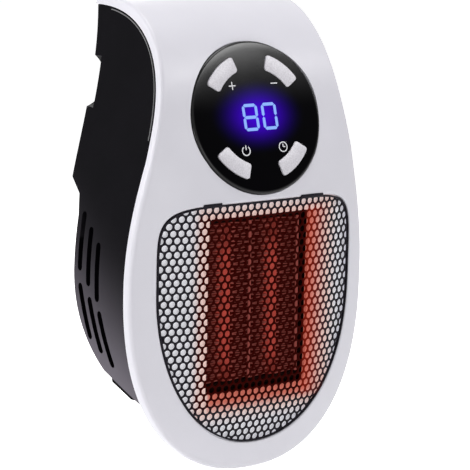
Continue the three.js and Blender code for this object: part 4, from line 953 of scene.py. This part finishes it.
def grille():
    finish_piece(honeycomb(), MESH_BLACK, ["grille_net"], 60)
    sections = [(0.2, 1.5), (0.2, 0.5), (0.3, 0.25), (0.4, 0.15), (0.7, 0.15), (0.85, 0.25), (0.95, 0.5),
                (0.95, 1.5)]
    trim = loft("grille_trim", bent_rings(sections, 60), closed=True)
    finish_piece(trim, MESH_BLACK, ["grille_frame"], 45)
    tab_section = ((-0.6, 0.5), (-0.6, -0.15), (0.2, -0.25), (0.9, -0.15), (0.9, 0.5))
    power = GRILLE_TOP_POWER
    for low_x, high_x, word in ((-30.5, -22.0, "left"), (18.0, 30.5, "right")):
        rings = []
        for x in np.linspace(low_x, high_x, 8):
            height = (1 - (abs(x) / GRILLE_HALF) ** power) ** (1 / power)
            z = GRILLE_MID_Z + (GRILLE_TOP_Z - GRILLE_MID_Z) * height
            rings.append([(x, float(face_y(x, z + rise)) + behind, z + rise) for rise, behind in tab_section])
        finish_piece(bevel(loft(f"grille_tab_{word}", rings), 0.1), MESH_BLACK)


grille()


# White reflector tray behind the net, with a window for the core
def tray():
    overlap = 2.4
    thickness = 1.6
    front = WALL + 3 * GAP
    middle = (CORE_TOP_Z + CORE_BOTTOM_Z) / 2
    outer = grille_outline(-overlap, 40)
    inner = []
    for x, z in outer:
        scale = max(abs(x) / CORE_HALF, abs(z - middle) / ((CORE_TOP_Z - CORE_BOTTOM_Z) / 2))
        inner.append((x / scale, middle + (z - middle) / scale))
    flats = [np.array(inner) * (1 - share) + outer * share for share in np.linspace(0, 1, 12)]
    rings = [on_face(flat, front) for flat in flats]
    rings += [on_face(flat, front + thickness) for flat in flats[::-1]]
    finish_piece(loft("reflector_skin", rings, closed=True), TRAY, ["reflector_tray"], 40)


tray()


# Heating core: folded foil fins between upright plates
def ribbon(name, ends, low_z, high_z, folds, front_y, rear_y):
    """A folded strip that runs to and fro between two plates."""
    thickness = 0.34
    corner = 0.35
    rise = 0.12
    low_x, high_x = sorted(ends)
    path = []
    for fold in range(2 * folds + 1):
        z = low_z + (high_z - low_z) * fold / (2 * folds)
        right = fold % 2 == 1
        x = high_x if right else low_x
        inward = -corner if right else corner
        path += [(x + inward, z - rise), (x, z), (x + inward, z + rise)]
    path = np.array(path)
    tangent = np.gradient(path, axis=0)
    tangent /= np.linalg.norm(tangent, axis=1)[:, None]
    normal = np.column_stack([-tangent[:, 1], tangent[:, 0]])
    upper, lower = path + normal * thickness / 2, path - normal * thickness / 2
    for edge in (upper, lower):
        edge[:, 0] = np.clip(edge[:, 0], low_x, high_x)
    rings = []
    for (ax, az), (bx, bz) in zip(upper, lower):
        rings.append([(ax, front_y, az), (ax, rear_y, az), (bx, rear_y, bz), (bx, front_y, bz)])
    return loft(name, rings)


def heating_core():
    holder = 3.6
    top = CORE_TOP_Z - holder
    low = CORE_BOTTOM_Z + holder
    front = CORE_FRONT_Y
    rear = CORE_FRONT_Y + CORE_DEPTH

    def upright(name, near_x, far_x, radius, segments=2):
        return bevel(cuboid(name, (near_x, front, low), (far_x, rear, top)), radius, segments)

    for side, word in SIDES:
        for label, near, far in (("inner", 0.8, 9.9), ("outer", 14.1, 23.9)):
            ends = (side * near, side * far)
            fins = ribbon(f"fins_{label}_{word}", ends, low, top, 34, front + GAP, rear - GAP)
            finish_piece(fins, FIN, [f"fin_stack_{label}_{word}"], 50)
        near, far = STRIP_X - STRIP_WIDTH / 2, STRIP_X + STRIP_WIDTH / 2
        strip = upright(f"strip_{word}", side * near, side * far, 0.3, 3)
        finish_piece(strip, STRIP, [f"ceramic_strip_{word}"])
        plate = upright(f"plate_{word}", side * 24.2, side * 25.2, 0.2)
        finish_piece(plate, PLATE, [f"core_side_plate_{word}"])
    finish_piece(upright("divider", -0.5, 0.5, 0.2), PLATE, ["core_divider"])


heating_core()


# Control panel: dome, buttons, digits and marks
def rounded_outline(points, radius, steps=4):
    """Replaces each sharp corner of an outline by a short arc."""
    made = []
    count = len(points)
    for place in range(count):
        before = Vector(points[place - 1])
        here = Vector(points[place])
        after = Vector(points[(place + 1) % count])
        arriving = (here - before).normalized()
        leaving = (after - here).normalized()
        if arriving.dot(leaving) > 0.7:
            made.append(tuple(here))
            continue
        start = here - arriving * radius
        end = here + leaving * radius
        for t in np.linspace(0, 1, steps + 1):
            made.append(tuple(start * (1 - t) ** 2 + here * 2 * t * (1 - t) + end * t**2))
    return made


def button_outline(angle, margin, corner):
    half = BUTTON_HALF_SPAN + margin / BUTTON_MIDDLE
    points = []
    for radius, direction in ((BUTTON_OUTER + margin, 1), (BUTTON_INNER - margin, -1)):
        for share in np.linspace(-1, 1, 9):
            points.append(polar(radius, angle + direction * half * share))
    return rounded_outline(points, corner)


BUTTON_ANGLES = {
    "plus": math.pi - BUTTON_CENTRE,
    "minus": BUTTON_CENTRE,
    "power": math.pi + BUTTON_CENTRE,
    "timer": -BUTTON_CENTRE,
}


def panel_front(x, z):
    """The depth of the panel's domed front at a place on it."""
    share = math.hypot(x, z) / (PANEL_RADIUS - 0.8)
    return -PANEL_DOME * (1 - min(1, share) ** 2)


def panel_disc():
    edge = 1.0
    skirt_wall = 1.6
    skirt_depth = 8
    rim = PANEL_RADIUS - edge
    profile = [(0, -PANEL_DOME)]
    profile += [(rim * s, -PANEL_DOME * (1 - s**2)) for s in np.linspace(0.08, 1, 12)]
    turns = np.linspace(0.2, QUARTER_TURN, 6)
    profile += [(rim + edge * math.sin(turn), edge - edge * math.cos(turn)) for turn in turns]
    skirt = PANEL_RADIUS - SKIRT_INSET
    profile += [(PANEL_RADIUS, PANEL_LIP), (skirt, PANEL_LIP), (skirt, skirt_depth)]
    profile += [(skirt - skirt_wall, skirt_depth), (skirt - skirt_wall, PANEL_SKIN), (0, PANEL_SKIN)]
    disc = lathe("panel_face", profile, 160)
    outlines = [button_outline(angle, 0.2, 1.5) for angle in BUTTON_ANGLES.values()]
    boolean(disc, [prism_y("button_hole", outline, -OVERRUN, skirt_depth) for outline in outlines])
    finish_piece(moved(disc, ONTO_PANEL), PANEL, ["panel_disc"], 30)


def panel_buttons():
    for word, angle in BUTTON_ANGLES.items():
        cap = prism_y(f"button_cap_{word}", button_outline(angle, 0, 1.4), -1.0, 2.2)
        bevel(cap, 0.35, 3)
        stem = bar("stem", 1.8, 1.8, 3.5, *polar(BUTTON_MIDDLE, angle))
        moved(joined(cap, stem), ONTO_PANEL)
        finish_piece(cap, BUTTON, [f"button_{word}"], body=f"button_{word}")


def flat_mark(name, outlines, material):
    """Thin printed shapes that lie on the panel's dome."""
    stacks = []
    for outline in outlines:
        stacks.append([[(x, panel_front(x, z) - lift, z) for x, z in outline] for lift in (0.04, -0.01)])
    finish_piece(moved(loft(name, *stacks), ONTO_PANEL), material)


def stroke(start, end, width, pointed=False):
    """A bar between two points, with pointed ends where it is a segment of a display."""
    a, b = Vector(start), Vector(end)
    along = (b - a).normalized() * width / 2
    side = Vector((-along.y, along.x))
    corners = (a + side, b + side, b - side, a - side)
    if pointed:
        corners = (a, a + along + side, b - along + side, b, b - along - side, a + along - side)
    return [tuple(corner) for corner in corners]


def digit_strokes(low_x, high_x, segments):
    """The lit segments of one digit."""
    width = 1.3
    breathing = 0.12
    low_z, high_z = -5.8, 5.6
    left, right = low_x + width / 2, high_x - width / 2
    bottom, top = low_z + width / 2, high_z - width / 2
    middle = (bottom + top) / 2
    lines = {}
    for name, z in (("top", top), ("middle", middle), ("bottom", bottom)):
        lines[name] = ((left + breathing, z), (right - breathing, z))
    for name, x in (("left", left), ("right", right)):
        lines[f"upper_{name}"] = ((x, middle + breathing), (x, top - breathing))
        lines[f"lower_{name}"] = ((x, bottom + breathing), (x, middle - breathing))
    return [stroke(*lines[name], width, True) for name in segments]


def ring_strokes(cx, cz, radius, width, start=0.0, end=2 * math.pi):
    """Short bars, end to end round a ring or a part of one."""
    shapes = []
    turns = np.linspace(start, end, 29)
    outer, inner = radius + width / 2, radius - width / 2
    for first, second in zip(turns[:-1], turns[1:]):
        corners = ((outer, first), (outer, second), (inner, second), (inner, first))
        shapes.append([polar(radius, turn, cx, cz) for radius, turn in corners])
    return shapes


def panel_marks():
    ring = ("bottom", "upper_left", "upper_right", "lower_left", "lower_right")
    digits = digit_strokes(-7.6, 0.0, ("top", "middle", *ring)) + digit_strokes(2.0, 9.6, ("top", *ring))
    flat_mark("display_digits", digits, DIGIT)
    thin = 0.45

    def level(x, z, before, after):
        return stroke((x + before, z), (x + after, z), thin)

    def upright(x, z, below, above):
        return stroke((x, z + below), (x, z + above), thin)

    x, z = polar(17.2, BUTTON_ANGLES["plus"])
    plus = [level(x, z, -1.7, 1.7), upright(x, z, 0.28, 1.7), upright(x, z, -1.7, -0.28)]
    x, z = polar(17.2, BUTTON_ANGLES["minus"])
    minus = [level(x, z, -1.7, 1.7)]
    x, z = -8.4, -13.8
    power = ring_strokes(x, z, 1.9, thin, math.radians(125), math.radians(415))
    power.append(upright(x, z, 0.3, 2.3))
    x, z = polar(17.0, BUTTON_ANGLES["timer"])
    timer = ring_strokes(x, z, 2.0, thin) + [upright(x, z, 0, 1.3), level(x, z, 0.2, 1.1)]
    for word, shapes in (("plus", plus), ("minus", minus), ("power", power), ("timer", timer)):
        flat_mark(f"mark_{word}", shapes, MARK)


panel_disc()
panel_buttons()
panel_marks()


# Wall plug
def plug():
    profile = [(0, 0), (DISC_RADIUS - 0.6, 0), (DISC_RADIUS - 0.15, -0.15), (DISC_RADIUS, -0.6),
               (DISC_RADIUS, -1.1), (26, -1.1), (26, -2.2), (19.7, -2.2), (19.7, -6), (0, -6)]
    disc = lathe("plug_face", profile, 128)
    groove = boolean(bar("ring", 24.4, -0.45, 1, sides=128), [bar("core", 23.8, -0.6, 2, sides=128)])
    centres = [side * BLADE_X for side, _ in SIDES]
    slots = [cuboid("blade_slot", (x - 1.05, -8, -3.475), (x + 1.05, 2, 3.475)) for x in centres]
    boolean(disc, [groove] + slots)
    finish_piece(disc, COVER, ["plug_disc"], 30, "plug")
    upper = [(17, 1.2), (16.6, 2.4), (15.6, 3.175), (-10, 3.175)]
    lower = [(y, -z) for y, z in upper[::-1]]
    for x, (_, word) in zip(centres, SIDES):
        blade = shifted(prism_x(f"blade_{word}", lower + upper, 0.75), x, 0, 0)
        hole = moved(bar("hole", 1.6, -2, 2, sides=40), Matrix.Rotation(QUARTER_TURN, 4, "Z"))
        boolean(blade, [shifted(hole, x, 12, 0)])
        finish_piece(bevel(blade, 0.18), BRASS, [f"plug_blade_{word}"], body="plug")


plug()


# Screws with a cross recess
def screws():
    for side, word in SIDES:
        for part, x, z in (("top", TOP_SCREW_X, TOP_SCREW_Z), ("chin", CHIN_SCREW_X, CHIN_SCREW_Z)):
            low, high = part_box(f"cover_screw_{part}_{word}")
            head, tip = high.y / MM, low.y / MM
            profile = [(0, head), (2.2, head - 0.05), (2.65, head - 0.35), (2.8, head - 0.9),
                       (2.8, head - 1.8), (1.4, head - 1.8), (1.4, tip), (0, tip)]
            screw = shifted(lathe(f"screw_{part}_{word}", profile, 40), side * x, 0, z)
            for long_x, long_z in ((1.5, 0.3), (0.3, 1.5)):
                boolean(screw, [cuboid("cross", (side * x - long_x, head - 0.9, z - long_z),
                                       (side * x + long_x, head + 1, z + long_z))])
            finish_piece(screw, STEEL, [f"cover_screw_{part}_{word}"])


screws()


# Foot strips and the rocker switch
def foot_strips():
    width = 15
    thickness = 2.2
    for side, word in SIDES:
        across = [side * (BODY_HALF - share * width) for share in np.linspace(0, 1, 9)]
        rings = []
        for end in (9.5, 22.5):
            upper = [(x, -GAP - arch_drop(x), end) for x in across]
            lower = [(x, y - thickness, z) for x, y, z in upper]
            rings.append(slanted(lower + upper[::-1]))
        strip = boolean(loft(f"foot_{word}", rings), [outline_prism(1.0)], "INTERSECT")
        finish_piece(strip, RUBBER, [f"foot_strip_{word}"], 30)


def rocker():
    frame_piece = bevel(cuboid("rocker_bezel", (0, -6.2, -8.6), (1.6, 6.2, 8.6)), 0.5, 3)
    boolean(frame_piece, [cuboid("body", (-10, -4.8, -7.2), (0.8, 4.8, 7.2))], "UNION")
    boolean(frame_piece, [cuboid("well", (-5, -3.6, -6), (4, 3.6, 6))])
    finish_piece(moved(frame_piece, ONTO_ROCKER), COVER, ["rocker_frame"], 30)
    half = 5.7
    tilt = math.radians(8)
    valley = 0.8
    peak = 1.6 + half * math.sin(tilt) / 2
    end_z = half * math.cos(tilt)

    def paddle_x(z):
        return valley + (peak - valley) * (z / half) ** 2

    outline = [(paddle_x(z), z) for z in np.linspace(end_z, -end_z, 13)]
    outline += [(-1.5, -end_z), (-3, 0), (-1.5, end_z)]
    paddle = bevel(loft("rocker_paddle", [[(x, y, z) for x, z in outline] for y in (-3.3, 3.3)]), 0.25)
    seated = ONTO_ROCKER @ Matrix.Rotation(tilt, 4, "Y")
    finish_piece(moved(paddle, seated), ROCKER_GLOSS, ["rocker_switch"], 30, "rocker")
    marks = {"on": [stroke((0, 2.6), (0, 4.2), 0.4)], "off": ring_strokes(0, -3.4, 0.75, 0.35)}
    for word, shapes in marks.items():
        stacks = []
        for shape in shapes:
            stacks.append([[(paddle_x(z) + lift, y, z) for y, z in shape] for lift in (0.05, -0.02)])
        mark = moved(loft(f"rocker_mark_{word}", *stacks), seated)
        finish_piece(mark, MARK, body="rocker")


foot_strips()
rocker()

# Materials of the solids that stay as they are
DRESSED = {
    COVER: "plug_retainer",
    HOT_PLASTIC: "contact_carrier air_duct core_holder_top core_holder_bottom "
                 "tact_switch_plus tact_switch_minus tact_switch_power tact_switch_timer",
    STEEL: "plug_screw_lower plug_screw_upper thermal_cutout motor_shaft fan_motor "
           "fan_screw_left fan_screw_right",
    BRASS: "heater_terminal_left heater_terminal_right",
    BOARD: "control_board power_board",
    SMOKE: "display_module remote_receiver",
    FAN_PLASTIC: "fan_frame fan_impeller",
    BLUE_CASE: "heater_relay",
    LEAD: "film_capacitor heater_lead_left heater_lead_right",
}
for finish, names in DRESSED.items():
    for name in names.split():
        nodes[name].data.materials.clear()
        nodes[name].data.materials.append(finish)


# The photograph's viewing angle
def camera():
    place = Vector((-0.5271, -0.7978, 0.1020))
    target = Vector((0, -0.045, -0.065))
    roll = math.radians(0.6)
    data = bpy.data.cameras.new("camera")
    data.lens = 168.5
    data.sensor_width = 36
    made = placed("camera", data)
    turn = (target - place).to_track_quat("-Z", "Y")
    made.matrix_world = Matrix.Translation(place) @ turn.to_matrix().to_4x4() @ Matrix.Rotation(roll, 4, "Z")
    bpy.context.scene.camera = made


camera()


# Plain pale floor and soft studio light
def white_for_view(tree, dim, white):
    """White to the camera, to reflections and through clear materials, and dim as a light on the object."""
    rays = node(tree, "ShaderNodeLightPath").outputs
    seen = combined("MAXIMUM", rays["Is Camera Ray"], rays["Is Transmission Ray"], rays["Is Glossy Ray"])
    return between(seen, 0, 1, dim, white)


def world():
    made = bpy.data.worlds.new("studio")
    made.use_nodes = True
    bpy.context.scene.world = made
    background = made.node_tree.nodes["Background"]
    feed(background.inputs["Color"], (1, 1, 1))
    feed(background.inputs["Strength"], white_for_view(made.node_tree, 0.185, 1.0))


def floor():
    size = 30.0
    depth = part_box("front_shell")[0].z - 0.12
    mesh = bpy.data.meshes.new("floor")
    corners = [(-size, -size, depth), (size, -size, depth), (size, size, depth), (-size, size, depth)]
    mesh.from_pydata(corners, [], [(0, 1, 2, 3)])
    made = placed("floor", mesh)
    material, place = bare_material("floor_white")
    paint(material, {
        "Base Color": blend_colors(noise(place, 30.0), (0.93, 0.93, 0.93), (0.96, 0.96, 0.96)),
        "Roughness": 0.9,
        "Emission Color": (1, 1, 1),
        "Emission Strength": white_for_view(material.node_tree, 0.0, 0.8),
    })
    mesh.materials.append(material)


def lamp(name, place, size, power):
    target = Vector((0, -0.04, -0.07))
    data = bpy.data.lights.new(name, "AREA")
    data.shape = "RECTANGLE"
    data.size, data.size_y = size
    data.energy = power
    made = placed(name, data)
    made.location = place
    made.rotation_euler = (target - Vector(place)).to_track_quat("-Z", "Y").to_euler()


world()
floor()
lamp("key", (-0.25, -1.15, -0.08), (0.7, 0.5), 2.9)
lamp("sheen", (0.57, -0.84, 0.59), (0.6, 0.14), 4.0)
lamp("top", (0.0, 0.0, 0.95), (0.6, 0.4), 6.5)
lamp("side", (-0.95, 0.62, 0.30), (0.6, 0.8), 8.5)
lamp("low", (-0.95, -0.05, -0.22), (0.3, 0.3), 2.2)
lamp("back", (0.45, 1.05, 0.35), (0.6, 0.6), 5)

bpy.context.scene.view_settings.view_transform = "Standard"
